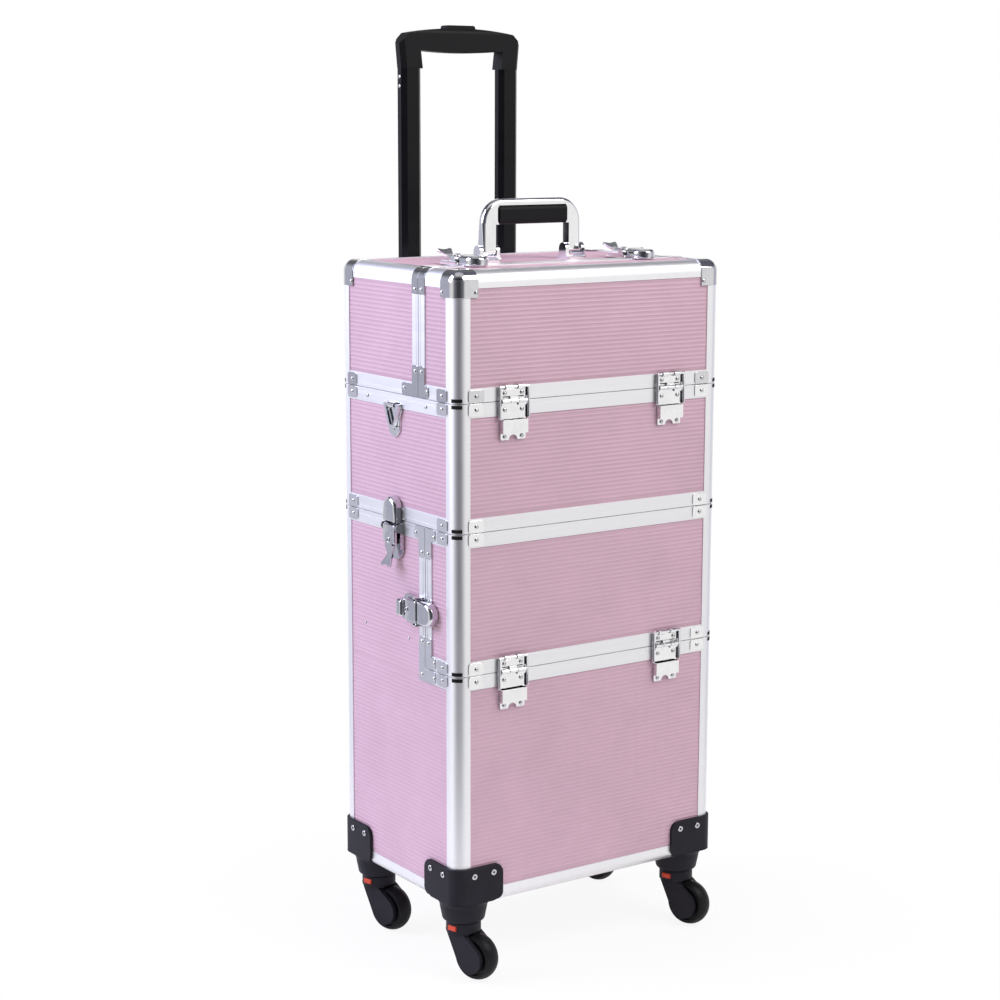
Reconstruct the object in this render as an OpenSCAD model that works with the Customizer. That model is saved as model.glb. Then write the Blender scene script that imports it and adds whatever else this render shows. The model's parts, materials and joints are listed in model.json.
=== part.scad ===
// Rolling makeup case: board walls in aluminium edge profiles, a lift-off upper box with a split lid,
// a drop-down front door, a pull-up trolley handle and four detachable swivel casters.
// The origin is on the floor under the middle of the case. +X is to its right and +Y to its back.

/* [Case] */
// Width of the case
case_w = 340; // [320:5:380]
// Depth of the case
case_d = 225; // [215:5:260]
// Height of the lower case below the door
lower_h = 249; // [220:1:300]
// Height of the drop-down door
door_h = 148.5; // [135:0.5:180]
// Height of the upper box below its lids
box_h = 132.5; // [115:0.5:160]
// Height of the two lids
lid_h = 132.5; // [125:0.5:160]
// Depth of the front lid
front_lid_d = 68.5; // [66:0.5:80]
// Depth of the side walls of the door
door_d = 57; // [52:0.5:62]
// Gap at every seam
seam_gap = 0.6; // [0.4:0.1:1]

/* [Boards and profiles] */
// Thickness of a wall board
board_t = 5; // [4:0.5:6]
// Thickness of a profile flange
flange_t = 1.2; // [0.8:0.1:1.6]
// Radius of a rounded case edge
edge_r = 12; // [10:0.5:14]
// Reach of an edge profile from its virtual corner
flange_w = 17.75; // [16:0.25:20]
// Width of the flange on each side of a level seam
rim_w = 15; // [13.5:0.5:18]
// Width of the flange on each side of an upright seam
jamb_w = 12; // [11:0.5:14]
// Thickness of the lip that closes a board at a seam
lip_t = 2; // [1.5:0.25:3]
// Gap where two profile lengths butt
butt_gap = 0.1; // [0.05:0.05:0.2]

/* [Corner plates] */
// Thickness of the plates over the seams
plate_t = 1; // [0.8:0.1:1.4]
// Reach of a seam plate from the case corner
plate_reach = 34; // [30:1:40]
// Start of a seam plate, clear of the rounded edge
plate_start = 15; // [14.5:0.5:18]
// Height of a seam plate
plate_h = 13.5; // [10:0.5:15]
// Corner radius of the plates
plate_r = 3; // [1:0.5:4]
// Thickness of the ball corners and of the wrap-over straps
ball_t = 0.8; // [0.6:0.1:1.2]
// Reach of a ball corner along each edge
ball_reach = 27; // [24:1:32]
// Reach of the level arm of a side bracket from its seam
bracket_reach = 19.5; // [17:0.5:21]
// Height of the upright arm of a side bracket
bracket_rise = 33; // [25:1:40]

/* [Stay hinges] */
// Distance of each hinge from the side of the case
hinge_in = 69; // [60:1:80]
// Width of a hinge leaf
leaf_w = 31; // [26:1:36]
// Height of a hinge leaf, from the seam
leaf_h = 16; // [14:0.5:18]
// Thickness of a hinge leaf
leaf_t = 1.2; // [0.8:0.1:1.6]
// Distance of the hinge axis in front of the case
hinge_out = 3; // [2.9:0.1:4]
// Radius of a hinge barrel
barrel_r = 2.4; // [2:0.1:2.6]
// Radius of a hinge pin
pin_r = 1.2; // [1:0.1:1.4]
// Distance of the foot of the lower leaf below the seam
leaf_foot = 40; // [38:1:46]
// Top of the pocket below the seam
pocket_top = 19; // [18:0.5:22]
// Bottom of the pocket below the seam
pocket_bottom = 33; // [30:0.5:35]
// Stand-off of the pocket
pocket_out = 6; // [5:0.5:8]
// Radius of the wire of a stay
stay_r = 1.5; // [1:0.1:1.5]
// Height of the stay's pivot above the seam
stay_rise = 14.5; // [13:0.5:16]
// Drop of the legs of a stay below the seam
stay_drop = 17; // [14:0.5:18]

/* [Clasps] */
// Width of a clasp
clasp_w = 30; // [26:1:34]
// Length of the base of a clasp
clasp_base_l = 42; // [38:1:46]
// Length of the keeper of a clasp
keeper_l = 24; // [22:1:28]
// Distance of the lever's pivot from the seam
clasp_pivot_in = 8; // [7:0.5:10]
// Height of the lever's pivot above the surface
clasp_pivot_h = 6; // [5.5:0.25:7]
// Radius of the lever's pin
clasp_pin_r = 1.5; // [1.2:0.1:1.8]
// Reach of a lever beyond its pivot
lever_reach = 43; // [40:1:48]
// Place of the side clasps of the upper box, behind the middle of the case
case_clasp_y = 1; // [-3:1:15]
// Height of the door clasps above the bottom of the case
door_clasp_rise = 308; // [300:1:312]
// Distance of the top clasps from the sides of the case
top_clasp_in = 62; // [56:1:70]

/* [Carry handle] */
// Place of the handle's pivot behind the middle of the case
handle_y = 2; // [-4:1:12]
// Height of the handle's pivot above the lid
handle_pivot_h = 10; // [9.5:0.5:12]
// Half the width of the bail
bail_half_w = 63.5; // [58:0.5:70]
// Height of the bail above the lid
bail_h = 65; // [60:1:75]
// Width of an arm of the bail
bail_arm_w = 16; // [13:0.5:18]
// Thickness of the bail
bail_t = 11; // [8:0.5:13]
// Corner radius of the bail
bail_r = 26; // [20:1:30]
// Height of the bar over the grip
bail_bar_h = 7; // [5:0.5:9]
// Height of the grip
grip_h = 20; // [16:0.5:22]
// Thickness of the grip
grip_t = 16; // [12:0.5:17]

/* [Strap rings] */
// Place of the strap rings behind the middle of the case
ring_y = 3; // [-8:1:12]
// Drop of the ring's axis below the seam under the lids
ring_drop = 12; // [11:0.5:16]
// Width of a strap ring
ring_w = 30; // [24:1:36]
// Height of a strap ring
ring_h = 24; // [20:1:30]
// Radius of the ring's wire
ring_r = 1.6; // [1.2:0.1:2]

/* [Trolley handle] */
// Distance of each tube from the middle of the case
tube_x = 64; // [55:1:70]
// Distance of the tubes behind the case
tube_out = 29; // [27:1:34]
// Width of the inner tubes
tube_w = 25; // [22:1:28]
// Depth of the inner tubes
tube_d = 17; // [14:0.5:19]
// Wall of the tubes
tube_wall = 1.2; // [1:0.1:1.5]
// Corner cut of the inner tubes
tube_chamfer = 5; // [2:0.5:6]
// Sliding clearance between two tubes
tube_clear = 0.4; // [0.3:0.05:0.5]
// Height of the top of the outer tubes above the bottom of the case
outer_tube_top = 385; // [360:5:390]
// Height of the top of the middle tubes above the bottom of the case
middle_tube_top = 655; // [640:5:660]
// Height of the top of the inner tubes above the bottom of the case
inner_tube_top = 864; // [850:2:900]
// Length of the middle tubes
middle_tube_l = 320; // [310:5:340]
// Length of the inner tubes
inner_tube_l = 254; // [250:2:280]
// Height of the pull grip over the tubes
pull_h = 44; // [40:1:50]
// Width of the pull grip
pull_w = 158; // [154:1:172]
// Depth of the pull grip
pull_d = 18; // [17:0.5:24]
// Height of the bar of the pull grip
pull_bar_h = 24; // [18:1:26]
// Length of the button
button_l = 38; // [30:1:44]
// Width of the button
button_w = 12; // [9:0.5:14]
// Height that the button stands proud
button_proud = 3; // [2.5:0.25:4]
// Travel of the button
button_travel = 2; // [1:0.25:2]

/* [Casters] */
// Height of the bottom of the case above the floor
caster_h = 82.5; // [80:0.5:90]
// Inset of each swivel axis from the case faces
caster_inset = 26.5; // [25:0.5:29]
// Reach of a caster bracket from the case corner
cup_reach = 57; // [52:1:62]
// Height of a caster bracket up the case wall
cup_rise = 44; // [38:1:50]
// Wall of a caster bracket
cup_t = 3; // [2:0.5:4]
// Thickness of a caster bracket under the case
cup_floor = 8; // [6:0.5:9]
// Corner radius of a caster bracket
cup_r = 10; // [6:1:12]
// Diameter of the neck of a caster bracket
neck_d = 47; // [44:1:50]
// Height of the neck, from the bottom of the case
neck_h = 19.5; // [18:0.5:21]
// Diameter of the head of a fork
fork_head_d = 37; // [36:0.5:40]
// Height of the head of a fork
fork_head_h = 13; // [12:0.5:14]
// Thickness of a fork arm
fork_arm_t = 5; // [4:0.5:6]
// Radius of the round foot of a fork arm
fork_foot_r = 16; // [12:0.5:18]
// Radius of the stem in its socket
stem_r = 5.5; // [4:0.5:7]
// Trail of the wheel behind the swivel axis
wheel_trail = 18.5; // [16:0.5:20]
// Diameter of a wheel
wheel_d = 50; // [46:1:52]
// Width of a wheel
wheel_w = 18; // [14:0.5:20]
// Radius of a wheel axle
axle_r = 3; // [2:0.25:4]
// Heading of the trail at rest, from +X
trail_angle = -74; // [-180:1:180]
// Width of a release tab
tab_w = 10; // [8:0.5:12]
// Height of a release tab
tab_h = 5.5; // [4:0.5:6]
// Travel of a release tab
tab_travel = 2; // [1:0.25:2.5]

/* [Front tray] */
// Room between each end of the tray and the side wall
tray_end_gap = 18.8; // [18:0.2:24]
// Depth of the tray
tray_d = 50; // [42:1:52]
// Height of the tray
tray_h = 38; // [30:1:40]
// Wall of the tray
tray_wall = 2; // [1.5:0.5:3]
// Place of the tray's lid pivot behind the lid hinge
tray_pivot_y = 30; // [28:0.5:32]
// Height of the tray's lid pivot above the lid hinge
tray_pivot_z = 75; // [70:1:80]
// Offset of the arm pivots behind the lid pivots
arm_offset_y = 18; // [17:0.5:20]
// Offset of the arm pivots above the lid pivots
arm_offset_z = 12; // [11:0.5:14]
// Half the width of a tray arm
arm_half_w = 4; // [3.5:0.25:4.5]
// Thickness of a tray arm
arm_t = 2.5; // [1.5:0.25:3]
// Radius of the tray's pins
tray_pin_r = 3; // [2:0.25:3]

/* [Fits] */
// Radial clearance of a turning pin
run_clear = 0.08; // [0.05:0.01:0.1]
// Clearance beside a moving part
side_clear = 0.5; // [0.4:0.1:0.8]

/* [Hidden] */
$fn = 64;

// Half sizes of the case, and half of a seam
half_w = case_w / 2;
half_d = case_d / 2;
half_gap = seam_gap / 2;
// Depth from the outer face to the inner face of a wall
wall_in = flange_t + board_t;
// Heights of the case bottom, the three level seams and the top
z_case = caster_h;
z_door = z_case + lower_h;
z_box = z_door + door_h;
z_lid = z_box + box_h;
z_top = z_lid + lid_h;
// Upright seams behind the door and behind the front lid
y_door = -half_d + door_d;
y_lid = -half_d + front_lid_d;
// Distance from a seam to the edge of a board behind its lip
lip_in = half_gap + lip_t;
// Tube sizes, from the inside out
middle_w = tube_w + 2 * (tube_clear + tube_wall);
middle_d = tube_d + 2 * (tube_clear + tube_wall);
outer_w = middle_w + 2 * (tube_clear + tube_wall);
outer_d = middle_d + 2 * (tube_clear + tube_wall);
hinge_x = half_w - hinge_in;
top_clasp_x = half_w - top_clasp_in;
// Half the width of the tray, and its place in the lid
tray_half_w = half_w - wall_in - tray_end_gap;
tray_gap = 2.3;
tray_drop = 5;
clasp_t = 1.2;
ear_t = 1.4;
lever_w = clasp_w - 2 * (ear_t + side_clear);
tube_y = half_d + tube_out;
tube_foot = 15;
sleeve_h = 36;
// Caster heights: underside of the neck, wheel axle and fork
wheel_r = wheel_d / 2;
neck_z = z_case - neck_h;
head_gap = 0.3;
head_z = neck_z - head_gap - fork_head_h;
fork_gap = wheel_w + 2 * side_clear;
fork_w = fork_gap + 2 * fork_arm_t;
// Hinge axis of the lids and of the door, and the tray pivots that follow it
hinge_y = -half_d - hinge_out;
tray_y = hinge_y + tray_pivot_y;
tray_z = z_lid + tray_pivot_z;
// Layers of the tray's ends, from the tray outwards
arm_x = tray_half_w + 4;
arm_bracket_x = arm_x + arm_t + side_clear;

// Shapes that many pieces share

module color_aluminium() { color("gainsboro") children(); }
module color_chrome() { color("silver") children(); }
module color_board() { color([0.82, 0.67, 0.74]) children(); }
module color_black() { color([0.12, 0.12, 0.13]) children(); }

// A copy on each side, and a copy at one corner, of what is drawn at the right rear
module flip(sx, sy) {
  mirror([sx < 0 ? 1 : 0, 0, 0]) mirror([0, sy < 0 ? 1 : 0, 0]) children();
}
module both_sides() { for (sx = [-1, 1]) flip(sx, 1) children(); }

// Stands a flat shape on the right side wall: its x runs back, its y runs up and its z points out
module on_side(y, z) { translate([half_w, y, z]) rotate([90, 0, 90]) children(); }

// Stands a flat shape on the front wall: its x runs right, its y runs up and its z points out
module on_front(x, z) { translate([x, -half_d, z]) rotate([90, 0, 0]) children(); }

// Rectangle with round corners, from its lower left corner
module round_rect(w, h, r) {
  translate([r, 0]) square([w - 2 * r, h]);
  translate([0, r]) square([w, h - 2 * r]);
  for (x = [r, w - r], y = [r, h - r]) translate([x, y]) circle(r);
}

// Cutter for one outer corner of radius r at the origin, body towards -x and -y
module corner_cut(r) {
  difference() {
    translate([-r, -r]) square(r + 1);
    translate([-r, -r]) circle(r);
  }
}

// Section of an edge profile: virtual corner at the origin, case towards -x and -y
module edge_section() {
  intersection() {
    translate([-edge_r, -edge_r]) circle(edge_r);
    translate([-edge_r, -edge_r]) square(edge_r);
  }
  translate([-flange_w, -flange_t]) square([flange_w - edge_r, flange_t]);
  translate([-flange_t, -flange_w]) square([flange_t, flange_w - edge_r]);
}

// Section of a sheet bent over the edge profile
module wrap_section(reach) {
  intersection() {
    difference() {
      translate([-edge_r, -edge_r]) circle(edge_r + ball_t);
      translate([-edge_r, -edge_r]) circle(edge_r);
    }
    translate([-edge_r, -edge_r]) square(edge_r + ball_t);
  }
  translate([-reach, 0]) square([reach - edge_r, ball_t]);
  translate([0, -reach]) square([ball_t, reach - edge_r]);
}

// Upright edge profile at one corner
module post(sx, sy, z_lo, z_hi) {
  flip(sx, sy) translate([half_w, half_d, z_lo]) linear_extrude(z_hi - z_lo) edge_section();
}

// Level edge profile along the front or back, on top of the case or under it
module edge_across(sy, z, up) {
  length = case_w - 2 * (edge_r + butt_gap);
  flip(1, sy) translate([-length / 2, half_d, z]) mirror([0, 0, up ? 0 : 1])
    rotate([90, 0, 90]) linear_extrude(length) edge_section();
}

// Level edge profile along one side, on top of the case or under it
module edge_along(sx, z, up, y_lo, y_hi) {
  flip(sx, 1) translate([half_w, y_hi, z]) mirror([0, 0, up ? 0 : 1])
    rotate([90, 0, 0]) linear_extrude(y_hi - y_lo) edge_section();
}

// Seam profile: x points out of the wall, y leads away from the seam, z runs along it.
// The flange lies on the board from f_lo to f_hi, and the lip covers its edge from l_lo to l_hi.
module seam_bar(w, f_lo, f_hi, l_lo, l_hi) {
  translate([-flange_t, half_gap, f_lo]) cube([flange_t, w - half_gap, f_hi - f_lo]);
  translate([-wall_in, half_gap, l_lo]) cube([wall_in - flange_t, lip_t, l_hi - l_lo]);
}

// Seam profile along the front or back, above a level seam or below it
module rim_across(sy, z, above) {
  f = half_w - flange_w - butt_gap;
  l = half_w - edge_r - butt_gap;
  flip(1, sy) translate([0, half_d, z]) mirror([0, 0, above ? 0 : 1])
    rotate([90, 0, 90]) seam_bar(rim_w, -f, f, -l, l);
}

// Seam profile along one side between two depths, above a level seam or below it
module rim_along(sx, z, above, f_lo, f_hi, l_lo, l_hi) {
  flip(sx, 1) translate([half_w, 0, z]) mirror([0, 0, above ? 0 : 1])
    rotate([90, 0, 0]) seam_bar(rim_w, -f_hi, -f_lo, -l_hi, -l_lo);
}

// Seam profile up one side, behind an upright seam or before it
module jamb(sx, y, behind, f_lo, f_hi, l_lo, l_hi) {
  flip(sx, 1) translate([half_w, y, 0]) mirror([0, behind ? 0 : 1, 0])
    seam_bar(jamb_w, f_lo, f_hi, l_lo, l_hi);
}

// Seam profile across the top at the lid seam
module jamb_top(behind) {
  f = half_w - flange_w - butt_gap;
  l = half_w - edge_r - butt_gap;
  translate([0, y_lid, z_top]) mirror([0, behind ? 0 : 1, 0])
    rotate([0, -90, 0]) seam_bar(jamb_w, -f, f, -l, l);
}

// Wall board across the front or back
module board_across(sy, z_lo, z_hi) {
  w = case_w - 2 * edge_r;
  flip(1, sy) translate([-w / 2, half_d - wall_in, z_lo]) cube([w, board_t, z_hi - z_lo]);
}

// Wall board along one side
module board_along(sx, y_lo, y_hi, z_lo, z_hi) {
  flip(sx, 1) translate([half_w - wall_in, y_lo, z_lo]) cube([board_t, y_hi - y_lo, z_hi - z_lo]);
}

// Plates beside one corner at a level seam, on both faces
module seam_plates(sx, sy, z, above) {
  reach = plate_reach - plate_start;
  flip(sx, sy) translate([half_w, half_d, z]) mirror([0, 0, above ? 0 : 1]) {
    translate([-plate_start, plate_t, half_gap]) rotate([90, 0, 0]) mirror([1, 0, 0])
      linear_extrude(plate_t) round_rect(reach, plate_h - half_gap, plate_r);
    translate([0, -plate_reach, half_gap]) rotate([90, 0, 90])
      linear_extrude(plate_t) round_rect(reach, plate_h - half_gap, plate_r);
  }
}

// Angle plate over the corner of an upright and a level seam: level arm along +x, upright arm along +y
module angle_plate(reach, rise) {
  linear_extrude(plate_t) {
    translate([half_gap, half_gap]) round_rect(reach - half_gap, plate_h - half_gap, plate_r);
    translate([half_gap, half_gap]) round_rect(jamb_w - half_gap, rise - half_gap, plate_r);
    translate([half_gap, half_gap]) square(2 * plate_r);
  }
}

// Ball corner on top of the case at one corner
module ball_corner(sx, sy) {
  flip(sx, sy) translate([half_w, half_d, z_top]) {
    intersection() {
      translate([-edge_r, -edge_r, -edge_r]) sphere(edge_r + ball_t);
      translate([-edge_r, -edge_r, -edge_r]) cube(edge_r + ball_t);
    }
    translate([0, 0, -ball_reach]) linear_extrude(ball_reach - edge_r) wrap_section(ball_reach);
    translate([-ball_reach, 0, 0]) rotate([90, 0, 90])
      linear_extrude(ball_reach - edge_r) wrap_section(ball_reach);
    translate([0, -edge_r, 0]) rotate([90, 0, 0])
      linear_extrude(ball_reach - edge_r) wrap_section(ball_reach);
  }
}

// Strap over the top edge beside the lid seam
module top_strap(sx, behind) {
  w = jamb_w - half_gap;
  flip(sx, 1) translate([half_w, y_lid + (behind ? jamb_w : -half_gap), z_top])
    rotate([90, 0, 0]) linear_extrude(w) wrap_section(ball_reach);
}

// Lower case

module lower_panels() {
  z_wall = z_case + edge_r;
  z_rim = z_door - lip_in;
  color_board() {
    translate([-half_w + edge_r, -half_d + edge_r, z_case + flange_t])
      cube([case_w - 2 * edge_r, case_d - 2 * edge_r, board_t]);
    board_across(-1, z_wall, z_rim);
    board_across(1, z_wall, z_box - lip_in);
    for (sx = [-1, 1]) {
      board_along(sx, -half_d + edge_r, half_d - edge_r, z_wall, z_rim);
      board_along(sx, y_door + lip_in, half_d - edge_r, z_rim, z_box - lip_in);
    }
  }
}

module lower_frame() {
  z_post = z_case + edge_r + butt_gap;
  y_post = half_d - edge_r - butt_gap;
  y_flange = half_d - flange_w - butt_gap;
  color_aluminium() {
    for (sy = [-1, 1]) edge_across(sy, z_case, false);
    rim_across(-1, z_door, false);
    rim_across(1, z_box, false);
    for (sx = [-1, 1]) {
      post(sx, -1, z_post, z_door - half_gap);
      post(sx, 1, z_post, z_box - half_gap);
      edge_along(sx, z_case, false, -y_post, y_post);
      for (sy = [-1, 1]) flip(sx, sy) translate([half_w - edge_r, half_d - edge_r, z_case + edge_r])
        intersection() {
          sphere(edge_r);
          translate([0, 0, -edge_r]) cube(edge_r);
        }
      rim_along(sx, z_door, false, -y_flange, y_door + half_gap - butt_gap, -y_post, y_door + half_gap - butt_gap);
      rim_along(sx, z_box, false, y_door + jamb_w + butt_gap, y_flange, y_door + lip_in + butt_gap, y_post);
      jamb(sx, y_door, true, z_door - rim_w, z_box - half_gap, z_door - lip_in, z_box - half_gap);
    }
  }
}

module lower_side_plates() {
  color_chrome() for (sx = [-1, 1]) {
    seam_plates(sx, -1, z_door, false);
    seam_plates(sx, 1, z_box, false);
    flip(sx, 1) {
      on_side(y_door, z_box) mirror([0, 1, 0]) angle_plate(bracket_reach, bracket_rise);
      on_side(y_door + jamb_w, z_door - rim_w) mirror([1, 0, 0]) linear_extrude(plate_t) {
        round_rect(jamb_w + bracket_reach, rim_w - half_gap, plate_r);
        round_rect(jamb_w - half_gap, rim_w + bracket_rise, plate_r);
      }
    }
  }
}

// Caster bracket: a plate around the case corner, a floor under it and a neck for the swivel stem
module caster_bracket() {
  outer = edge_r + cup_t;
  color_black() translate([half_w, half_d, z_case]) difference() {
    union() {
      difference() {
        translate([0, 0, -cup_floor]) linear_extrude(cup_floor + cup_rise) cup_plan(outer, cup_t, cup_reach);
        linear_extrude(cup_rise + 1) cup_plan(edge_r, 0, cup_reach + 1);
      }
      intersection() {
        translate([-caster_inset, -caster_inset, 0]) neck();
        translate([0, 0, -neck_h]) linear_extrude(neck_h) cup_plan(outer, cup_t, cup_reach);
      }
    }
    translate([-caster_inset, -caster_inset, -neck_h - 1]) cylinder(r = stem_r + run_clear, h = neck_h - 2);
    for (side = [0, 1]) mirror([side, -side, 0]) {
      translate([-cup_reach, 0, cup_rise]) rotate([90, 0, 0]) mirror([1, 0, 0])
        linear_extrude(3 * cup_reach, center = true) corner_cut(cup_r);
      translate([-cup_reach, cup_t + 1, -cup_floor]) rotate([90, 0, 0]) mirror([1, 0, 0]) mirror([0, 1, 0])
        linear_extrude(cup_reach + cup_t + 1) corner_cut(cup_floor);
    }
  }
}

// Plan of a caster bracket: a square at the case corner with its outer corner round
module cup_plan(r, out, reach) {
  difference() {
    translate([-reach, -reach]) square(reach + out);
    translate([out, out]) corner_cut(r);
  }
}

// Neck that widens into the floor of the bracket
module neck() {
  flare = neck_h - cup_floor - 3;
  rotate_extrude() difference() {
    translate([0, -neck_h]) square([neck_d / 2 + flare, neck_h - cup_floor]);
    translate([neck_d / 2 + flare, -cup_floor - flare]) circle(flare);
    translate([neck_d / 2, -neck_h - 1]) square([flare + 1, neck_h - cup_floor - flare + 1]);
  }
}

module caster_brackets() { for (sx = [-1, 1], sy = [-1, 1]) flip(sx, sy) caster_bracket(); }

// Section of a tube with cut corners; nested sections keep an even gap all round
module tube_section(w, d) {
  cut = tube_chamfer + (w - tube_w) / 2 * (2 - sqrt(2));
  x = w / 2;
  y = d / 2;
  polygon([
    [-x + cut, -y], [x - cut, -y], [x, -y + cut], [x, y - cut],
    [x - cut, y], [-x + cut, y], [-x, y - cut], [-x, -y + cut]
  ]);
}

// Pair of tubes, both of one length
module tube_pair(w, d, z_lo, z_hi) {
  for (sx = [-1, 1]) translate([sx * tube_x, tube_y, z_lo]) linear_extrude(z_hi - z_lo) difference() {
    tube_section(w, d);
    tube_section(w - 2 * tube_wall, d - 2 * tube_wall);
  }
}

module trolley_outer_tubes() {
  color_black() tube_pair(outer_w, outer_d, z_case + tube_foot, z_case + outer_tube_top);
}

// Two blocks that hold the outer tubes off the back of the case
module trolley_brackets() {
  r = 6;
  inset = 4;
  block_w = 2 * tube_x + outer_w + 12;
  block_d = tube_out + outer_d / 2 + inset + flange_t;
  z_feet = [z_case + tube_foot + inset, z_case + outer_tube_top - sleeve_h - inset];
  color_black() for (z = z_feet) difference() {
    translate([-block_w / 2, half_d - flange_t, z]) linear_extrude(sleeve_h) {
      square([block_w, block_d - r]);
      translate([r, 0]) square([block_w - 2 * r, block_d]);
      for (x = [r, block_w - r]) translate([x, block_d - r]) circle(r);
    }
    for (sx = [-1, 1]) translate([sx * tube_x, tube_y, z - 1])
      linear_extrude(sleeve_h + 2) tube_section(outer_w, outer_d);
    translate([-tube_x + outer_w, half_d + 6, z - 1])
      cube([2 * tube_x - 2 * outer_w, block_d, sleeve_h + 2]);
  }
}

// Stay hinges

// Fixed half: leaf, outer barrels with the pin, pocket and foot, drawn with the seam at z = 0
module lower_leaf() {
  barrel_l = leaf_w / 3;
  difference() {
    translate([-leaf_w / 2, -leaf_foot, 0]) linear_extrude(leaf_t)
      round_rect(leaf_w, leaf_foot - barrel_r - half_gap, 2);
    translate([0, -leaf_foot, -1]) cylinder(r = leaf_w / 6, h = leaf_t + 2);
  }
  difference() {
    translate([-leaf_w / 2, -pocket_bottom, leaf_t])
      cube([leaf_w, pocket_bottom - pocket_top, pocket_out - leaf_t]);
    translate([-leaf_w / 2 + leaf_t, -pocket_bottom - 1, leaf_t - 1])
      cube([leaf_w - 2 * leaf_t, pocket_bottom - pocket_top + 2, pocket_out - 2 * leaf_t + 1]);
  }
  for (sx = [-1, 1]) barrel(sx * (leaf_w - barrel_l) / 2, barrel_l - side_clear, -1);
  translate([-leaf_w / 2, 0, hinge_out]) rotate([0, 90, 0]) cylinder(r = pin_r, h = leaf_w);
}

// One barrel on the hinge axis with the web to its leaf, above the seam or below it
module barrel(x, length, side) {
  web = barrel_r + half_gap + 2;
  translate([x - length / 2, 0, 0]) {
    translate([0, 0, hinge_out]) rotate([0, 90, 0]) cylinder(r = barrel_r, h = length);
    translate([0, side < 0 ? -web : 0, hinge_out - barrel_r / 2]) cube([length, web, barrel_r / 2]);
    translate([0, side < 0 ? -web : web - 2, 0]) cube([length, 2, hinge_out]);
  }
}

// Moving half: leaf, middle barrel and the lugs that hold the stay
module upper_leaf(with_lugs) {
  barrel_l = leaf_w / 3;
  lug_r = stay_r + 1.2;
  translate([-leaf_w / 2, barrel_r + half_gap, 0]) linear_extrude(leaf_t)
    round_rect(leaf_w, leaf_h - barrel_r - half_gap, 2);
  difference() {
    barrel(0, barrel_l - side_clear, 1);
    translate([-leaf_w / 2, 0, hinge_out]) rotate([0, 90, 0]) cylinder(r = pin_r + run_clear, h = leaf_w);
  }
  if (with_lugs) for (sx = [-1, 1]) translate([sx * leaf_w / 4 - leaf_w / 8, stay_rise, 0]) difference() {
    union() {
      translate([0, 0, hinge_out]) rotate([0, 90, 0]) cylinder(r = lug_r, h = leaf_w / 4);
      translate([0, -lug_r, 0]) cube([leaf_w / 4, 2 * lug_r, hinge_out]);
    }
    translate([-1, 0, hinge_out]) rotate([0, 90, 0]) cylinder(r = stay_r + run_clear, h = leaf_w / 4 + 2);
  }
}

// Wire stay that hangs from the lugs beside the leaves
module stay() {
  leg_x = leaf_w / 2 + stay_r + 0.7;
  translate([-leg_x, stay_rise, hinge_out]) rotate([0, 90, 0]) cylinder(r = stay_r, h = 2 * leg_x);
  for (sx = [-1, 1]) translate([sx * leg_x, 0, hinge_out]) {
    translate([0, stay_rise, 0]) sphere(stay_r);
    translate([0, -stay_drop, 0]) sphere(stay_r);
    translate([0, -stay_drop, 0]) rotate([-90, 0, 0]) cylinder(r = stay_r, h = stay_drop + stay_rise);
  }
}

module door_hinge_lower_leaves() { color_chrome() for (sx = [-1, 1]) on_front(sx * hinge_x, z_door) lower_leaf(); }
module door_hinge_upper_leaves() { color_chrome() for (sx = [-1, 1]) on_front(sx * hinge_x, z_door) upper_leaf(true); }
module door_stays() { color_chrome() for (sx = [-1, 1]) on_front(sx * hinge_x, z_door) stay(); }
module front_lid_hinge_leaves() { color_chrome() for (sx = [-1, 1]) on_front(sx * hinge_x, z_lid) upper_leaf(true); }
module lid_stays() { color_chrome() for (sx = [-1, 1]) on_front(sx * hinge_x, z_lid) stay(); }

module upper_hinge_leaves() {
  color_chrome() for (sx = [-1, 1]) {
    on_front(sx * hinge_x, z_lid) lower_leaf();
    mirror([0, 1, 0]) on_front(sx * hinge_x, z_lid) rear_lower_leaf();
  }
}

// Plain lower leaf of the rear lid hinges
module rear_lower_leaf() {
  barrel_l = leaf_w / 3;
  translate([-leaf_w / 2, -leaf_h, 0]) linear_extrude(leaf_t) round_rect(leaf_w, leaf_h - barrel_r - half_gap, 2);
  for (sx = [-1, 1]) barrel(sx * (leaf_w - barrel_l) / 2, barrel_l - side_clear, -1);
  translate([-leaf_w / 2, 0, hinge_out]) rotate([0, 90, 0]) cylinder(r = pin_r, h = leaf_w);
}

module rear_lid_hinge_leaves() {
  color_chrome() for (sx = [-1, 1]) mirror([0, 1, 0]) on_front(sx * hinge_x, z_lid) upper_leaf(false);
}

// Clasps: x across the clasp, y towards the keeper with the seam at 0, z out of the surface

// Base plate with two side walls that rise to ears around the pin
module clasp_base() {
  ear_r = 4.4;
  end_r = 12;
  wall_h = clasp_pivot_h - 2;
  wall_lo = -clasp_base_l + end_r;
  wall_hi = -3;
  translate([-clasp_w / 2, 0, 0]) linear_extrude(clasp_t) {
    translate([0, -clasp_base_l]) round_rect(clasp_w, clasp_base_l - half_gap, end_r);
    translate([0, wall_lo]) square([clasp_w, -wall_lo - half_gap]);
  }
  for (sx = [-1, 1]) translate([sx * (clasp_w - ear_t) / 2, 0, 0]) rotate([0, -90, 0])
    linear_extrude(ear_t, center = true) {
      translate([clasp_t / 2, wall_lo]) square([wall_h, wall_hi - wall_lo]);
      translate([clasp_pivot_h, -clasp_pivot_in]) circle(ear_r);
      translate([clasp_t / 2, -clasp_pivot_in - ear_r]) square([clasp_pivot_h, 2 * ear_r]);
    }
  translate([-clasp_w / 2 + ear_t / 2, -clasp_pivot_in, clasp_pivot_h]) rotate([0, 90, 0])
    cylinder(r = clasp_pin_r, h = clasp_w - ear_t);
}

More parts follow.
